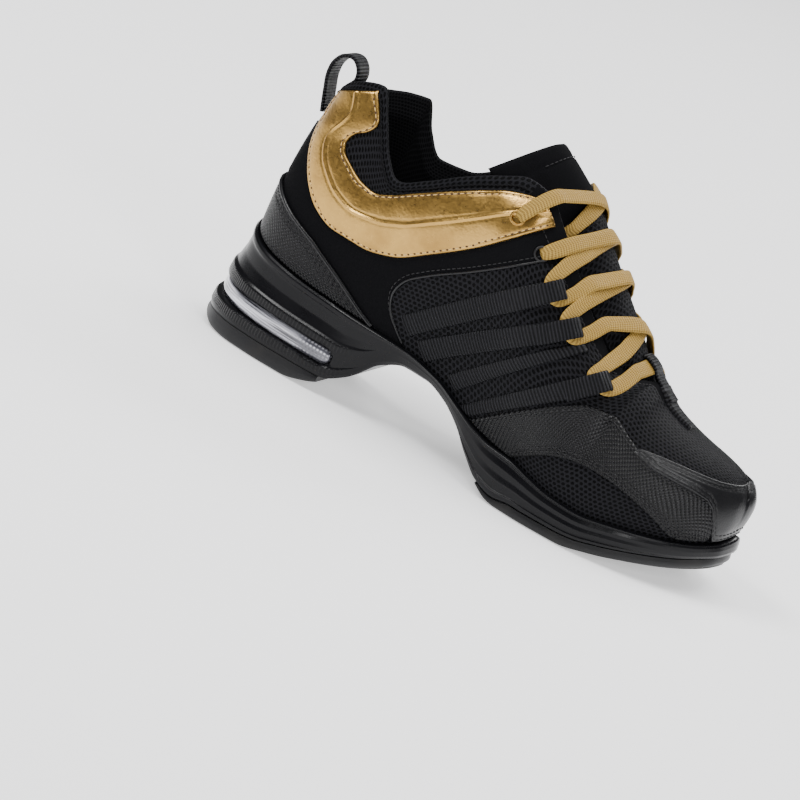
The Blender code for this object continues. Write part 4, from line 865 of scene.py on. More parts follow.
def makeInsole():
    # flat lining board with a padded crown, inside the upper's wall
    places = crowd(np.linspace(0, 1, 121))
    share = np.sin(np.linspace(-1, 1, 41) * np.pi / 2)[None]
    away = body["wall"] + 2 * shoe["gap"]
    left, right = (insetPoint(places * s, cupInset(places * s) + away) for s in (1, -1))
    middle, half = (left + right) / 2, (right - left) / 2
    flat = middle[:, None] + half[:, None] * share[..., None]
    width = np.linalg.norm(half, axis=1)[:, None]
    rim = roundEdge((1 - np.abs(share)) * width, .0025)
    height = (floorHeight(places) + floorHeight(-places))[:, None] / 2 + shoe["gap"] * 1.5
    base = lift(flat, height)
    up = np.broadcast_to([0, 0, 1.0], base.shape)
    made = addPillow("insolePad", base, up, rim * sole["insole"], flat, "lining", ("insole",))


makeMidsole()
makeOutsole("outsoleHeel", 0, sole["heelEnd"], "outsole_heel")
makeOutsole("outsoleForefoot", sole["foreStart"], 1, "outsole_forefoot")
makeWindow()
makeInsole()
print("sole made")


# upper
def wallThickness(at, level):
    pad = along(bendLine, 5, at) * np.interp(level, (0, .45, .75, .9, 1), (0, .15, .8, 1, .45))
    return body["wall"] + pad * body["pad"]


def polygonDistance(points, polygon):
    # distance to the polygon's outline, positive inside it
    best, inside = np.full(len(points), 1e9), np.zeros(len(points), bool)
    x, y = points.T
    for a, b in zip(polygon, np.roll(polygon, -1, 0)):
        run = b - a
        share = np.clip(((points - a) @ run) / (run @ run), 0, 1)
        best = np.minimum(best, np.linalg.norm(points - a - share[:, None] * run, axis=1))
        rise = b[1] - a[1] if b[1] != a[1] else 1e-9
        inside ^= ((a[1] > y) != (b[1] > y)) & (x < (y - a[1]) * (b[0] - a[0]) / rise + a[0])
    return np.where(inside, best, -best)


# side-view outlines, in mm, of the open mesh on the quarter and round the collar
quarterMesh = np.array([
    (150, 103), (132, 97.3), (108, 79.9), (91, 68.4), (84, 62), (80, 54.1), (82, 47), (89, 40.6), (95, 36.8),
    (95, 8), (270, 5), (270, 90), (200, 90)]) / 1000
collarMesh = np.array([
    (0, 145), (0, 111), (17, 113), (33, 121), (41, 111), (33, 103), (31, 99), (37, 92), (47, 86), (56, 85),
    (67, 93), (84, 101), (98, 110), (110, 116), (122, 117), (128, 112), (135, 112), (135, 145)]) / 1000
# along, crest height, half width, fall to the edges, setback of the edges
tongueLine = np.array([
    (.800, .480, .130, .030, 0), (.768, .522, .165, .060, 0), (.735, .588, .195, .110, 0),
    (.700, .664, .220, .150, 0), (.645, .768, .232, .165, .004), (.590, .866, .238, .170, .012),
    (.530, .985, .244, .175, .030), (.480, 1.055, .246, .170, .055), (.432, 1.108, .240, .165, .070)])
tongueLook = dict(thick=.0050, bend=2.2, rim=.0024, sideSeam=.0062, topSeam=.0075, stitch=.0022)


def makeUpper():
    # outer face up from the sole, over a rounded lip and down the padded lining
    count = 440
    turns = np.arange(count) / count * 2 - 1
    at = (np.sign(turns) * crowd(np.abs(turns)))[None, :]
    outLevels = 1 - (1 - np.linspace(0, 1, 74)) ** 1.15
    inLevels = outLevels[::-2]
    flip = (-np.arange(count)) % count
    closed = np.abs(at[0]) > body["throatEnd"] - .002

    def faceAt(levels):
        places, level = np.broadcast_arrays(at, levels[:, None])
        return places, level, *upperFace(places, level)

    places, level, outer, normal = faceAt(outLevels)
    normal[-1] = np.where(closed[:, None], unit(normal[-1] + normal[-1][flip]), normal[-1])
    # slight waves where the vamp bends, none at the sole or the top edge
    creases = np.sin(places * 130 + level * 9) * np.exp(-((np.abs(places) - .70) / .05) ** 2)
    creases = creases * (1 - level) * level
    outer = outer + normal * (creases * .0009)[..., None]
    outer[-1] = np.where(closed[:, None], (outer[-1] + outer[-1][flip]) / 2, outer[-1])
    topNormal = normal[-1]
    placesIn, levelIn, innerBase, innerNormal = faceAt(inLevels)
    innerNormal[0] = topNormal
    innerBase[0] = outer[-1]
    inner = innerBase - innerNormal * wallThickness(placesIn, levelIn)[..., None]
    skirt = lift(insetPoint(at, cupInset(at) + shoe["gap"]), floorHeight(at) + shoe["gap"])
    skirtIn = skirt - lift(planOutward(at), 0) * body["wall"]
    turn = np.linspace(0, np.pi, 11)[1:-1, None, None]
    centre, reach = (outer[-1] + inner[0]) / 2, (outer[-1] - inner[0]) / 2
    climb = unit(outer[-1] - outer[-3]) * np.linalg.norm(reach, axis=-1, keepdims=True)
    lip = centre + reach * np.cos(turn) + climb * np.sin(turn) * 1.05
    lip = np.where(closed[None, :, None], centre + reach * np.cos(turn), lip)
    points = np.concatenate((skirt, outer, lip, inner, skirtIn))
    rows = len(points)
    lipRows = np.arange(len(outLevels), 1 + len(outLevels) + len(lip))
    keep = np.ones((rows, count), bool)
    bothClosed = closed & np.roll(closed, -1)
    keep[np.ix_(lipRows, np.nonzero(bothClosed)[0])] = False
    side = points[..., [0, 2]].reshape(-1, 2)
    vamp = np.maximum(polygonDistance(side, quarterMesh), polygonDistance(side, collarMesh))
    zone = vamp.reshape(rows, count) * 1000
    stay = np.full((rows, count), 9.0)
    openTop = (np.abs(at) > .505) & (np.abs(at) < body["throatEnd"] + .03)
    stay[1:1 + len(outLevels)] = np.where(openTop, (.90 - outLevels[:, None]) * 60, 9.0)
    zone = np.minimum(zone, stay)
    upLength = np.concatenate(([0], np.cumsum(np.linalg.norm(np.diff(points, axis=0), axis=-1).mean(1)), [0]))
    upLength[-1] = upLength[-2] + .002
    aroundLength = np.append(at[0], 1) * body["around"]
    uv = np.stack(np.broadcast_arrays(aroundLength[None, :], upLength[:, None]), -1)
    faces, corners, row = gridParts(points, uv, True, keep)
    addMesh("upperShell", points, faces, corners, "upper_fabric", ("upper",), {"zone": zone},
            [looks["upper_fabric"], looks["lining"]], row > len(outLevels) + 2)


def makeTongue():
    # padded tongue: crest, width and fall from its table, thickness rounded off to its edges
    marks = np.arange(float(len(tongueLine)))
    rows = np.linspace(0, marks[-1], 97)
    x, z, half, fall, back = (smoothCurve(marks, tongueLine[:, k], rows)[:, None] for k in range(5))
    across = np.sin(np.linspace(-1, 1, 45) * np.pi / 2)[None]
    bend = np.abs(across) ** tongueLook["bend"]
    outer = np.stack((x * shoe["length"] - back * shoe["length"] * bend, half * shoe["ball"] * across,
                      z * shoe["collar"] - fall * shoe["collar"] * bend), -1)
    normal = unit(np.cross(np.gradient(outer, axis=0), np.gradient(outer, axis=1)))
    normal = np.where(normal[..., 2:] < 0, -normal, normal)
    thick = tongueLook["thick"] * np.linspace(.45, 1, len(rows))[:, None] * (1 - .45 * bend)
    length = runLength(outer[:, 22])
    toTop = length[-1] - length
    toSide = (1 - np.abs(across)) * half * shoe["ball"]
    rim = roundEdge(toSide, tongueLook["rim"])
    rim = rim * roundEdge(toTop, .0026)[:, None] * roundEdge(length, .001)[:, None]
    seam = np.exp(-((toSide - tongueLook["sideSeam"]) / .0006) ** 2)
    topSeam = np.exp(-((toTop - tongueLook["topSeam"]) / .0007) ** 2)[:, None]
    padding = .0007 * np.sin(np.clip((length - .055) / .05, 0, 1) * np.pi)[:, None] * (1 - bend)
    middle = outer - normal * (thick * .5)[..., None]
    uv = np.stack((outer[..., 1], np.broadcast_to(length[:, None], outer.shape[:2])), -1)
    zone = np.minimum(.82 - np.abs(across), ((toTop - .030) * 30)[:, None]) * 25
    up = np.maximum(rim * (thick * .5 + padding) - rim * .0006 * np.maximum(seam, topSeam), 0)
    down = rim * thick * .5
    made = addPillow("tonguePad", middle, normal, up, uv, "knit", ("tongue",), down, {"zone": zone})
    picked = np.nonzero(np.abs(across[0]) < .60)[0]
    row = int(np.argmin(np.abs(toTop - tongueLook["topSeam"])))
    line = outer[row, picked] + normal[row, picked] * .0002
    stitchAlong("black", line, normal[row, picked], tongueLook["stitch"])


makeUpper()
makeTongue()
print("upper made")


# overlays
shoeSides = ((True, "Lateral"), (False, "Medial"))
sheetLook = dict(standOff=.00015, edge=.0007, groove=.00022, grooveHalf=.0005, reach=.0012, stitch=.0024)
edgeSteps = np.array([0, .08, .25, .55, 1, 1.6])


def pressRows(height, rim, rows):
    # each row of stitches draws the sheet down into a shallow groove
    for distance, row in rows:
        off = (distance - row) / sheetLook["grooveHalf"]
        height = height - rim * sheetLook["groove"] * np.exp(-off ** 2)
    return height


def rowColumns(distance, row):
    # the grid's nearest column to a row at each place along, and whether it is near enough for a stitch
    column = np.argmin(np.abs(distance - row), 1)
    found = np.take_along_axis(distance, column[:, None], 1)[:, 0]
    return column, np.abs(found - row) < sheetLook["reach"]


def edgeSpread(width, radius, count):
    # places from 0 to 1 across a strip, close together at both edges
    close = edgeSteps * radius / width[:, None]
    close = close * np.minimum(1, .45 / close[:, -1:])
    middle = close[:, -1:] + (1 - 2 * close[:, -1:]) * np.linspace(0, 1, count)[None, 1:-1]
    return np.concatenate((close, middle, 1 - close[:, ::-1]), 1)


def evened(values):
    # the grid's inner values averaged with their neighbours three times
    for _ in range(3):
        values = values.copy()
        values[1:-1] = (values[:-2] + 2 * values[1:-1] + values[2:]) / 4
        values[:, 1:-1] = (values[:, :-2] + 2 * values[:, 1:-1] + values[:, 2:]) / 4
    return values


def addOverlay(name, pairs, slot, node, thick, radius, outer, count, across, relief=None, lowRows=(.0016,),
               highRows=(.0016,), thread="black", pitch=sheetLook["stitch"]):
    # strip between two edges given as side-view points in mm, laid on the upper with rounded edges
    pairs = np.asarray(pairs, float) / 1000
    marks = np.arange(float(len(pairs)))
    fine = np.linspace(0, len(pairs) - 1, 400)
    path = np.stack([smoothCurve(marks, pairs[:, k], fine) for k in range(4)], 1)
    length = runLength((path[:, :2] + path[:, 2:]) / 2)
    close = edgeSteps * radius
    inner = np.linspace(close[-1], length[-1] - close[-1], count)
    spots = np.unique(np.concatenate((close, inner, length[-1] - close)))
    path = np.stack([np.interp(spots, length, path[:, k]) for k in range(4)], 1)
    width = np.linalg.norm(path[:, 2:] - path[:, :2], axis=1)
    t = edgeSpread(width, radius, across)
    flat = path[:, None, :2] * (1 - t[..., None]) + path[:, None, 2:] * t[..., None]
    base, normal = upperFace(*(evened(values) for values in spotsFromSide(flat, outer)))
    base = base + normal * sheetLook["standOff"]
    toLow, toHigh = t * width[:, None], (1 - t) * width[:, None]
    rim = roundEdge(np.minimum(t, 1 - t) * width[:, None], radius) * roundEdge(spots[:, None], radius)
    rim = rim * roundEdge((spots[-1] - spots)[:, None], radius)
    rows = [(toLow, row) for row in lowRows] + [(toHigh, row) for row in highRows]
    height = pressRows(thick * rim, rim, rows)
    if relief:
        height = height + rim * relief(spots[:, None] / spots[-1], t, toLow, toHigh)
    uv = np.stack((np.broadcast_to(spots[:, None], t.shape), toLow), -1)
    addPillow(name, base, normal, np.maximum(height, 0), uv, slot, (node,))
    surface = base + normal * height[..., None]
    for distance, row in rows:
        column, near = rowColumns(distance, row)
        picked = np.nonzero(near & (spots > .002) & (spots < spots[-1] - .002))[0]
        if len(picked) > 3:
            line = picked, column[picked]
            stitchAlong(thread, surface[line], normal[line], pitch)


# lower and upper edge of each panel as side-view points in mm, from its back to its front
goldPairs = [
    (17, 114.6, 33.5, 123.6), (15.4, 109, 41, 112), (15, 103, 38.6, 107), (15, 97, 34, 103.4),
    (16.4, 90, 32, 99.4), (20.5, 82, 33.6, 95.4), (26, 74.8, 38.4, 92), (33.5, 68.4, 45.5, 88.4),
    (45, 64.4, 53, 87), (59, 64.2, 61, 90), (73, 67.4, 69, 95), (90, 78, 82, 103), (107, 90.7, 97, 111.6),
    (117, 99.8, 107.5, 116.6), (125, 107.4, 116, 118.6), (129.5, 111.6, 121.6, 118.8)]


def goldRelief(lengthShare, t, toLow, toHigh):
    # fine embossed welt with a shallow groove on each side, and a soft swell over the padding
    width = toLow + toHigh
    welt = (t - .52) * width
    ridge = .0005 * np.exp(-(welt / .00045) ** 2) - .0002 * np.exp(-((np.abs(welt) - .0011) / .0004) ** 2)
    ripple = .00008 * np.sin(lengthShare * 60 + 3 * t) * np.sin(t * 5)
    return ridge + .0013 * np.sin(np.clip(t, 0, 1) * np.pi) + ripple


def makeGoldBands():
    for outer, side in shoeSides:
        node = "collar_band_" + side.lower()
        addOverlay("collarBand" + side, goldPairs, "gold_leather", node, .0011, .0008, outer, 220, 34,
                   goldRelief, thread="gold", pitch=.0030)


sidePairs = [
    (134, 24.6, 158.5, 21.6), (143, 32, 163.5, 24.8), (152, 39.5, 168, 27.8), (161, 46.2, 172.5, 30.4),
    (170, 52.2, 177.5, 32.4), (179, 56.2, 183.5, 33.8), (187, 56, 190, 34.2), (198, 50.6, 198, 33.5),
    (208, 45.4, 207, 31.3), (219, 43.2, 215, 28.6), (230, 42.6, 222, 25.4), (236, 41.4, 229.5, 21.2),
    (240.8, 38.2, 235.5, 22.2), (242.8, 34, 240.6, 24)]
# rear and front corner of each strap's foot, then of its upper end
strapCorners = {"1": ((87.5, 47.8, 94.5, 41.5), (141.5, 94.6, 148.2, 87.4)),
                "2": ((98.5, 42, 105.5, 35.5), (154.5, 83.4, 160.3, 76.7)),
                "3": ((117, 36.2, 123.5, 32), (162, 76.5, 166, 73.9)),
                "4": ((128, 27.8, 131, 23.5), (174.4, 68.6, 181.6, 63.3))}


def strapRelief(lengthShare, t, toLow, toHigh):
    return .00025 * np.sin(t * np.pi)


def makeSideOverlays():
    bow = np.array([0, .5, .8, .8, .5, 0])[:, None]
    for outer, side in shoeSides:
        node = "side_overlay_" + side.lower()
        addOverlay("sideOverlay" + side, sidePairs, "textured_overlay", node, .0010, .0007, outer, 150, 22,
                   highRows=(.0016, .0034))
        for number, (foot, top) in strapCorners.items():
            pairs = np.linspace(foot, top, len(bow))[:, [2, 3, 0, 1]]
            pairs[:, 1::2] += bow
            node = f"strap_{number}_{side.lower()}"
            addOverlay(f"strap{number}{side}", pairs, "webbing", node, .0009, .0006, outer, 90, 10,
                       strapRelief, (), ())


def addAroundStrip(name, atLow, atHigh, low, high, slot, node, thick, highRows, count, across, lowRows=()):
    # strip round the shoe between two heights over the place around; returns its outer face
    at = np.linspace(atLow, atHigh, count)
    lowLevel = levelAt(at, low(at)) if callable(low) else np.full(count, low)
    highLevel = levelAt(at, high(at))
    first, last = upperPoint(at, lowLevel), upperPoint(at, highLevel)
    width = np.maximum(np.linalg.norm(last - first, axis=1), .0005)
    t = edgeSpread(width, sheetLook["edge"], across)
    level = lowLevel[:, None] * (1 - t) + highLevel[:, None] * t
    base, normal = upperFace(np.broadcast_to(at[:, None], t.shape), level)
    base = base + normal * sheetLook["standOff"]
    length = runLength(base[:, 0])[:, None]
    toLow, toHigh = t * width[:, None], (1 - t) * width[:, None]
    rim = roundEdge(np.minimum(t, 1 - t) * width[:, None], sheetLook["edge"])
    rim = rim * roundEdge(length, .001) * roundEdge(length[-1] - length, .001)
    rows = [(toHigh, row) for row in highRows] + [(toLow, row) for row in lowRows]
    height = pressRows(thick * rim, rim, rows)
    uv = np.stack((np.broadcast_to(length, t.shape), toLow), -1)
    addPillow(name, base, normal, np.maximum(height, 0), uv, slot, (node,))
    surface = base + normal * height[..., None]
    for distance, row in rows:
        column, near = rowColumns(distance, row)
        for part in np.split(np.arange(count), np.nonzero(~near)[0]):
            part = part[near[part]]
            if len(part) > 3:
                spots = part, column[part]
                stitchAlong("black", surface[spots], normal[spots], sheetLook["stitch"])
    return surface, normal


def makeCounter():
    # edge heights over the place around, in mm, from the heel's back to the arch
    knots = np.array([0, .05, .10, .14, .185, .23, .28, .33, .355, .372])
    heights = np.array([70, 69.4, 67.4, 64.4, 60, 55.6, 48.6, 40.8, 37.2, 36.0])

    def topEdge(at):
        return np.interp(np.abs(at), knots, heights) / 1000

    surface, normal = addAroundStrip("heelCounter", -.37, .37, .006, topEdge, "textured_overlay",
                                     "heel_counter", .0011, (.0022, .0040), 260, 26)
    out = normal[4:-4, -2]
    addSweep("counterPiping", surface[4:-4, -2] + out * .0002, out, roundProfile(.0009, 10), "smooth_overlay")


def makeToeBand():
    # heights of both edges over the place around, in mm, the same on both sides of the toe
    knots = np.array([.80, .8125, .84375, .875, .90625, .930, .942, .950, .957, .963, 1.0])
    low = np.array([46.6, 45.8, 43.4, 42.4, 41.6, 40.2, 37.6, 33.4, 28, 24, 27])
    high = np.array([47.2, 48.8, 48.9, 48.6, 48.3, 48.1, 48.1, 48.2, 48.3, 48.4, 49.3])

    def fold(values):
        return lambda at: np.interp(np.minimum(np.abs(at), 2 - np.abs(at)), knots, values) / 1000

    addAroundStrip("toeBand", .803, 1.197, fold(low), fold(high), "smooth_overlay", "toe_band", .0014,
                   (.0014, .0030), 300, 30, (.0013, .0029))


def makeBackStrip():
    at = np.linspace(-.028, .028, 25)[:, None]
    heights = np.linspace(.0712, .0965, 40)[None]
    places, z = np.broadcast_arrays(at, heights)
    base, normal = upperFace(places, levelAt(places, z))
    rim = 1
    for edge in ((at - at[0]) * body["around"], (at[-1] - at) * body["around"], heights - heights[0, 0],
                 heights[0, -1] - heights):
        rim = rim * roundEdge(edge, .0008)
    uv = np.stack((places * body["around"], z), -1)
    addPillow("backStrip", base + normal * sheetLook["standOff"], normal, .0010 * rim, uv, "smooth_overlay",
              ("back_strip",))
    for side in (4, 20):
        stitchAlong("black", (base + normal * .0011)[side], normal[side], sheetLook["stitch"])


def makeKeeper():
    # webbing that holds the tongue's foot: a strip that bends down over both sides of the vamp's ridge
    x = np.linspace(.1935, .2112, 60)[:, None]
    at = ridgePlace(x)
    across = np.linspace(-1, 1, 29)[None]
    half = np.interp(x, (x[0, 0], x[-1, 0]), (.0052, .0036))
    section = np.linalg.norm(upperPoint(at, .9) - upperPoint(at, 1.0), axis=-1) * 10
    level = 1 - np.abs(across) * half / section
    base, normal = upperFace(*np.broadcast_arrays(np.where(across < 0, -at, at), level))
    middle = unit(upperOutward(at, 1.0) + upperOutward(-at, 1.0))
    normal = unit(normal + middle * np.exp(-(across / .25) ** 2)[..., None] * 2)
    rim = roundEdge((1 - np.abs(across)) * half, .0006)
    rim = rim * roundEdge(x - x[0], .0006) * roundEdge(x[-1] - x, .0006)
    uv = np.stack(np.broadcast_arrays(x, across * half), -1)
    addPillow("laceKeeper", base + normal * .0002, normal, rim * .0012, uv, "webbing", ("lace_keeper",))


loopLook = dict(width=.0130, thick=.0016, high=.0145)


def makePullLoop():
    # a band that leaves the strip below, arches over and comes down behind the collar
    top, start = upperPoint(0.0, 1.0), upperPoint(0.0, .80)
    turns = ((-.44, -.25), (-.56, .20), (-.54, .58), (-.34, .88), (-.02, .94), (.22, .74), (.30, .42))
    arch = [(top[0] + a * loopLook["high"], top[2] + h * loopLook["high"]) for a, h in turns]
    route = [(start[0] - .0014, start[2])] + arch + [(top[0] + .0019, top[2] + .0019)]
    path = curveThrough([(x, 0, z) for x, z in route], 90)
    normal = np.cross(unit(np.gradient(path, axis=0)), (0, 1, 0))
    addSweep("pullLoop", path, normal, flatProfile(loopLook["width"], loopLook["thick"], 9), "webbing",
             ("pull_loop",))


makeGoldBands()
makeSideOverlays()
makeCounter()
makeToeBand()
makeBackStrip()
makeKeeper()
makePullLoop()
print("overlays made")


# laces
laceLook = dict(width=.0070, thick=.0015, rise=.0016)
eyeletLook = dict(ring=.0030, wire=.0005, loopWidth=.0086, keeperWidth=.0092, webbing=.0012)
# side-view spots in mm of the two punched holes, then foot and top of the straps whose ends are loops
holeSpots = ((115.9, 108.4), (131.0, 100.4))
loopSpots = (((91, 44.7), (143.6, 90.0)), ((102, 38.8), (156.4, 79.4)), ((129.5, 25.7), (177.0, 65.3)))
ridgeUp = unit(np.array([-.078, 0, .0505]))
ridgeOut = np.array([ridgeUp[2], 0, -ridgeUp[0]])


def sideSpot(x, z, outer):
    # point, outward normal, direction down the throat and place around of a side-view spot in mm
    at, level = spotsFromSide(np.array([[x, z]]) / 1000, outer)
    step = .004 if outer else -.004
    run = unit(upperTop(at + step) - upperTop(at - step))[0]
    return upperPoint(at, level)[0], upperOutward(at, level)[0], run, at[0]


def tongueHeight(x, y):
    table = tongueLine[::-1]
    z, half, fall = (np.interp(x, table[:, 0] * shoe["length"], table[:, k]) for k in (1, 2, 3))
    bend = np.abs(y / (half * shoe["ball"])) ** tongueLook["bend"]
    return z * shoe["collar"] - fall * shoe["collar"] * bend


def taut(distance, height):
    # upper hull of the points, as a lace drawn tight over them
    kept = []
    for spot in zip(distance, height):
        while len(kept) > 1 and ((kept[-1][0] - kept[-2][0]) * (spot[1] - kept[-2][1])
                                 - (kept[-1][1] - kept[-2][1]) * (spot[0] - kept[-2][0])) >= 0:
            kept.pop()
        kept.append(spot)
    kept = np.array(kept)
    return np.interp(distance, kept[:, 0], kept[:, 1])


def laceLegs(row, outer, leaving):
    # points and normals from a hidden end to the throat's edge: out of a hole, or past a loop's front or
    # rear side
    if row < len(holeSpots):
        hole, out, run, at = sideSpot(*holeSpots[row], outer)
        edge, edgeOut = upperTop(at), upperOutward(at, 1.0)
        rise = unit(edgeOut + ridgeOut)
        if not leaving:
            spots = [edge - edgeOut * .0060 + run * .002,
                     edge - edgeOut * .0030 + run * .0030 + ridgeOut * .0004]
            return np.array(spots), np.array([rise, rise])
        hole = hole + out * (.0022, 0)[row]  # the top hole goes through the gold band, which stands proud
        ahead = unit(edge + run * .007 - hole)
        spots = [hole - out * .0022 - ahead * .0005, hole + out * .0006 + ahead * .0012,
                 hole + out * .0024 + ahead * .0050, edge + run * .0060 + edgeOut * .0022]
        return np.array(spots), np.array([unit(out - ahead), unit(out - ahead * .4), out, rise])
    foot, top = np.array(loopSpots[row - len(holeSpots)])
    place, out, run, at = sideSpot(*top, outer)
    before = sideSpot(*(top - unit(top - foot) * 6), outer)[0]
    ahead, way = unit(place - before), 1 if leaving else -1
    edge, edgeOut = upperTop(at + (.011 if outer else -.011) * way), upperOutward(at, 1.0)
    rise = unit(edgeOut + ridgeOut)
    spots = [place - ahead * .0036 + out * .0018, place - ahead * .0026 + run * way * .0036 + out * .0020,
             edge * .5 + place * .5 + run * way * .0030 + out * .0022, edge + rise * .0026]
    return np.array(spots), np.array([out, out, unit(out + edgeOut), rise])


def strandPath(high, low, outer, liftBy):
    # out of the upper eyelet, tight over the tongue in a plane square to its ridge, under the far edge below
    first, firstNormals = laceLegs(high, outer, True)
    last, lastNormals = laceLegs(low, not outer, high == low)
    start, end = first[-1], last[-1]
    share = np.linspace(0, 1, 45)
    line = start + (end - start) * share[:, None]
    chord = unit(end - start)
    rise = unit(ridgeOut - chord * (ridgeOut @ chord))
    steps = np.linspace(-.004, .040, 89)
    tries = line[:, None] + rise * steps[:, None]
    clear = tries[..., 2] - tongueHeight(tries[..., 0], tries[..., 1]) - laceLook["rise"]
    height = steps[np.argmax(clear > 0, axis=1)]
    height = np.maximum(height, 0) + liftBy * laceLook["thick"] * np.exp(-((share - .5) / .22) ** 2)
    height[0] = height[-1] = 0
    height = taut(share, height)
    height = np.convolve(np.pad(height, 3, "edge"), np.ones(7) / 7, "valid")
    over = line + rise * height[:, None]
    ahead = unit(np.gradient(over, axis=0))
    normals = unit(rise - ahead * (ahead @ rise)[:, None])
    path = np.concatenate((first[:-1], over[3:-3:3], last[:-1][::-1]))
    normal = np.concatenate((firstNormals[:-1], normals[3:-3:3], lastNormals[:-1][::-1]))
    both = curveThrough(np.concatenate((path, normal * .02), 1), 110)
    return both[:, :3], unit(both[:, 3:])


def makeLaces():
    profile = flatProfile(laceLook["width"], laceLook["thick"])
    profile[:, 1] *= 1 - .25 * (np.abs(profile[:, 0]) / laceLook["width"] * 2) ** 2
    strands = [("laceBar", *strandPath(4, 4, True, 0))]
    for row in range(4):
        strands.append((f"laceOver{row + 1}", *strandPath(row, row + 1, True, 1.3)))
        strands.append((f"laceUnder{row + 1}", *strandPath(row, row + 1, False, 0)))
    for place, (name, path, normal) in enumerate(strands):
        # narrower and thicker at both ends, with a slow tilt and sway between them
        run = np.linspace(0, 1, len(path))
        start, finish = np.exp(-(run / .12) ** 2), np.exp(-((1 - run) / .12) ** 2)
        pinch = 1 - .30 * start - .30 * finish + .04 * np.sin(run * 15 + place * 2)
        thick = 1 + .35 * start + .35 * finish
        side = np.cross(unit(np.gradient(path, axis=0)), normal)
        tilt = unit(normal + side * (.16 * np.sin(run * 8 + place * 1.7) * np.sin(run * np.pi))[:, None])
        path = path + side * (.0005 * np.sin(run * 6 + place * 2.3) * np.sin(run * np.pi))[:, None]
        addSweep(name, path, tilt, profile, "lace", () if place else ("laces",), np.stack((pinch, thick), 1))


def makeEyelets():
    # a rolled rim round each punched hole, and a folded loop at the end of three straps on each side
    turn = (np.arange(28) / 28 * 2 * np.pi)[:, None]
    band = flatProfile(eyeletLook["loopWidth"], eyeletLook["webbing"])
    for outer, side in shoeSides:
        for number, spot in enumerate(holeSpots):
            hole, out, run, _ = sideSpot(*spot, outer)
            circle = (run * np.cos(turn) + np.cross(out, run) * np.sin(turn)) * eyeletLook["ring"]
            ring = hole + out * (.0027, .0004)[number] + circle
            slot = ("gold_leather", "smooth_overlay")[number]
            addSweep(f"eyeletRim{number + 1}{side}", ring, np.broadcast_to(out, ring.shape),
                     roundProfile(eyeletLook["wire"]), slot, closed=True)
        for number, (foot, top) in enumerate(np.array(loopSpots)):
            marks = np.linspace(-13, .5, 14)
            at, level = spotsFromSide((top + unit(top - foot) * marks[:, None]) / 1000, outer)
            base, normal = upperFace(at, level)
            rise = np.interp(marks, (-13, -9, -5, -1.5, .5), (.0007, .0013, .0030, .0038, .0036))
            ahead, end, out = unit(base[-1] - base[-3]), base[-1], normal[-1]
            fold = [end + ahead * .0014 + out * .0026, end + ahead * .0016 + out * .0010,
                    end + ahead * .0002 + out * .0001]
            foldNormal = [unit(out * .6 + ahead), unit(ahead - out * .2), -out + ahead * .3]
            path = np.concatenate((base + normal * rise[:, None], fold))
            both = curveThrough(np.concatenate((path, np.concatenate((normal, foldNormal)) * .01), 1), 60)
            addSweep(f"laceLoop{number + 1}{side}", both[:, :3], unit(both[:, 3:]), band, "webbing")


def makeKeeperLoop():
    # webbing that leaves the keeper's tab, runs over the lace's bottom bar and tucks in behind it
    bar = strandPath(4, 4, True, 0)[0]
    tab = upperPoint(ridgePlace(.1965), 1.0) + (0, 0, .0012)
    middle = np.argmin(np.abs(bar[:, 1] - tab[1]))
    centre = bar[middle] * (1, 0, 1) + tab * (0, 1, 0)
    down = unit((tab - centre) * (1, 0, 1))
    out = unit(np.cross((0, 1, 0), down))
    out = out * np.sign(out[2])
    spots = ((.0046, .0006), (.0022, .00155), (0, .00170), (-.0030, .0014), (-.0048, .0003), (-.0044, -.0010))
    path = curveThrough([tab + down * .004, tab] + [centre + down * a + out * h for a, h in spots], 60)
    normal = np.cross(unit(np.gradient(path, axis=0)), (0, 1, 0))
    band = flatProfile(eyeletLook["keeperWidth"], eyeletLook["webbing"])
    addSweep("keeperLoop", path, normal, band, "webbing")


makeLaces()
makeEyelets()
makeKeeperLoop()
print("laces made")


# seams and stitches
def stitchOn(at, level):
    base, normal = upperFace(at, level)
    stitchAlong("black", base + normal * .0001, normal, sheetLook["stitch"])


def makeSeams():
    # a thin cord with a row of stitches on the quarter's line, stitches by the throat, a cord at the collar
    quarterLine = np.array([(133, 98.5), (120, 88.6), (108, 79.9), (91, 68.4), (83, 61.3), (80.4, 54.1),
                            (83, 46.6), (88, 41.6), (93, 37.6)]) / 1000
    cord = roundProfile(.0005)
    for outer, side in shoeSides:
        sign = 1 if outer else -1
        base, normal = upperFace(*spotsFromSide(curveThrough(quarterLine, 120), outer))
        addSweep("quarterSeam" + side, base + normal * .0002, normal, cord, "smooth_overlay")
        stitchOn(*spotsFromSide(curveThrough(quarterLine + (-.0016, .0012), 120), outer))
        stitchOn(np.linspace(.525, .745, 120) * sign, .90)
        base, normal = upperFace(np.linspace(.02, .50, 160) * sign, .965)
        addSweep("collarSeam" + side, base + normal * .0001, normal, cord, "lining")


def makeStitches():
    # a bead between each two neighbours of a row, and a needle hole at each spot of the gold's rows
    kinds = (("black", "webbing", (.00095, .00024, .00022), threadBlack),
             ("gold", "gold_leather", (.0010, .00026, .00024), threadGold))
    for color, slot, half, look in kinds:
        runs = stitchRuns[color]
        centres = np.concatenate([(row[:-1, :3] + row[1:, :3]) / 2 for row in runs])
        ahead = np.concatenate([unit(row[1:, :3] - row[:-1, :3]) for row in runs])
        normals = np.concatenate([unit(row[1:, 3:]) for row in runs])
        addBeads(color + "Stitches", centres + normals * .0001, ahead, normals, half, slot, look)
    rows = np.concatenate(stitchRuns["gold"])
    out = unit(rows[:, 3:])
    flat = unit(np.cross(out, (0.0, 0.3, 1.0)))
    addBeads("needleHoles", rows[:, :3] + out * .00004, flat, out, (.00055, .00050, .00014), "gold_leather",
             holeBrown)


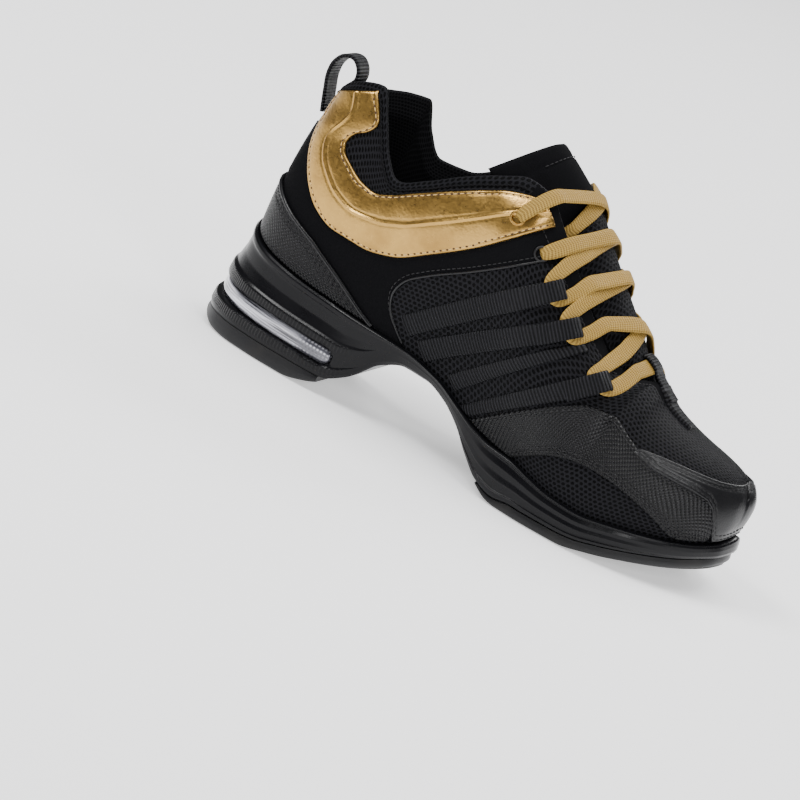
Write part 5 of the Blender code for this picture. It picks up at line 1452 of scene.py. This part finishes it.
makeSeams()
makeStitches()
print("seams made")


# floor, light and camera
studio = dict(azimuth=16, elevation=15, roll=25.9, lens=200.0, sensor=36, viewWidth=.3404, world=.15,
              floor=(.90, .90, .91), floorGlow=.62)
lights = {
    "keyLight": dict(place=(-.60, -.60, 1.15), aim=(.08, 0, .05), size=(.6, .4), power=15),
    "fillLight": dict(place=(1.1, -1.0, .8), aim=(.08, 0, .05), size=(.5, .5), power=9),
    "backLight": dict(place=(.45, 1.5, 1.2), aim=(.15, .25, 0), size=(1.6, .5), power=22),
    "topLight": dict(place=(.20, .15, 1.9), aim=(.15, .15, 0), size=(1.5, 1.5), power=38)}


def makeFloor():
    mesh = bpy.data.meshes.new("studioFloor")
    far, low = 8, -.0002
    corners = [(-far, -far, low), (far, -far, low), (far, far, low), (-far, far, low)]
    mesh.from_pydata(corners, [], [(0, 1, 2, 3)])
    look, tree, shader = newMaterial("floorPale", studio["floor"], .9, Specular_IOR_Level=.2,
                                     Emission_Strength=studio["floorGlow"])
    addBump(tree, shader, noise(tree, 40, 2), .0001, .1)
    mesh.materials.append(look)
    made = bpy.data.objects.new("studioFloor", mesh)
    bpy.context.scene.collection.objects.link(made)


def axesTurn(right, up, back):
    # quaternion of three square axes: sizes from the diagonal of their matrix, signs from the pairs across it
    m = np.stack((right, up, back), 1)
    signs = np.array([[1, 1, 1], [1, -1, -1], [-1, 1, -1], [-1, -1, 1]])
    parts = np.sqrt(np.maximum(1 + signs @ np.diag(m), 0)) / 2
    parts[1:] = np.copysign(parts[1:], (m[2, 1] - m[1, 2], m[0, 2] - m[2, 0], m[1, 0] - m[0, 1]))
    return parts


def addLight(name, place, aim, size, power):
    data = bpy.data.lights.new(name, "AREA")
    data.shape, data.size, data.size_y = "RECTANGLE", size[0], size[1]
    data.energy = power
    made = bpy.data.objects.new(name, data)
    bpy.context.scene.collection.objects.link(made)
    back = unit(np.array(place, float) - np.array(aim, float))
    right = unit(np.cross((0, 0, 1.0), back))
    made.rotation_mode = "QUATERNION"
    made.rotation_quaternion = axesTurn(right, np.cross(back, right), back)
    made.location = place


def makeCamera():
    # looks at the shoe from the photograph's side, long lens, turned about its own axis
    a, e, r = (np.radians(studio[key]) for key in ("azimuth", "elevation", "roll"))
    right = np.array([np.cos(a), np.sin(a), 0])
    up = np.array([-np.sin(a) * np.sin(e), np.cos(a) * np.sin(e), np.cos(e)])
    back = np.array([np.sin(a) * np.cos(e), -np.cos(a) * np.cos(e), np.sin(e)])
    turned = np.cos(r) * right + np.sin(r) * up
    raised = -np.sin(r) * right + np.cos(r) * up
    scale = studio["viewWidth"] / 800
    centre = np.array([-.0325, -.009, .0045]) + turned * 191.5 * scale - raised * 97 * scale
    data = bpy.data.cameras.new("studioCamera")
    data.lens = studio["lens"]
    data.sensor_width = studio["sensor"]
    data.clip_end = 50
    made = bpy.data.objects.new("studioCamera", data)
    place = centre + back * studio["viewWidth"] * studio["lens"] / studio["sensor"]
    made.rotation_mode = "QUATERNION"
    made.rotation_quaternion = axesTurn(turned, raised, back)
    made.location = place
    bpy.context.scene.collection.objects.link(made)
    bpy.context.scene.camera = made


makeFloor()
for name, light in lights.items():
    addLight(name, **light)
world = bpy.data.worlds.new("studioWorld")
world.use_nodes = True
world.node_tree.nodes["Background"].inputs[0].default_value = (1, 1, 1, 1)
world.node_tree.nodes["Background"].inputs[1].default_value = studio["world"]
bpy.context.scene.world = world
makeCamera()
print("studio made")
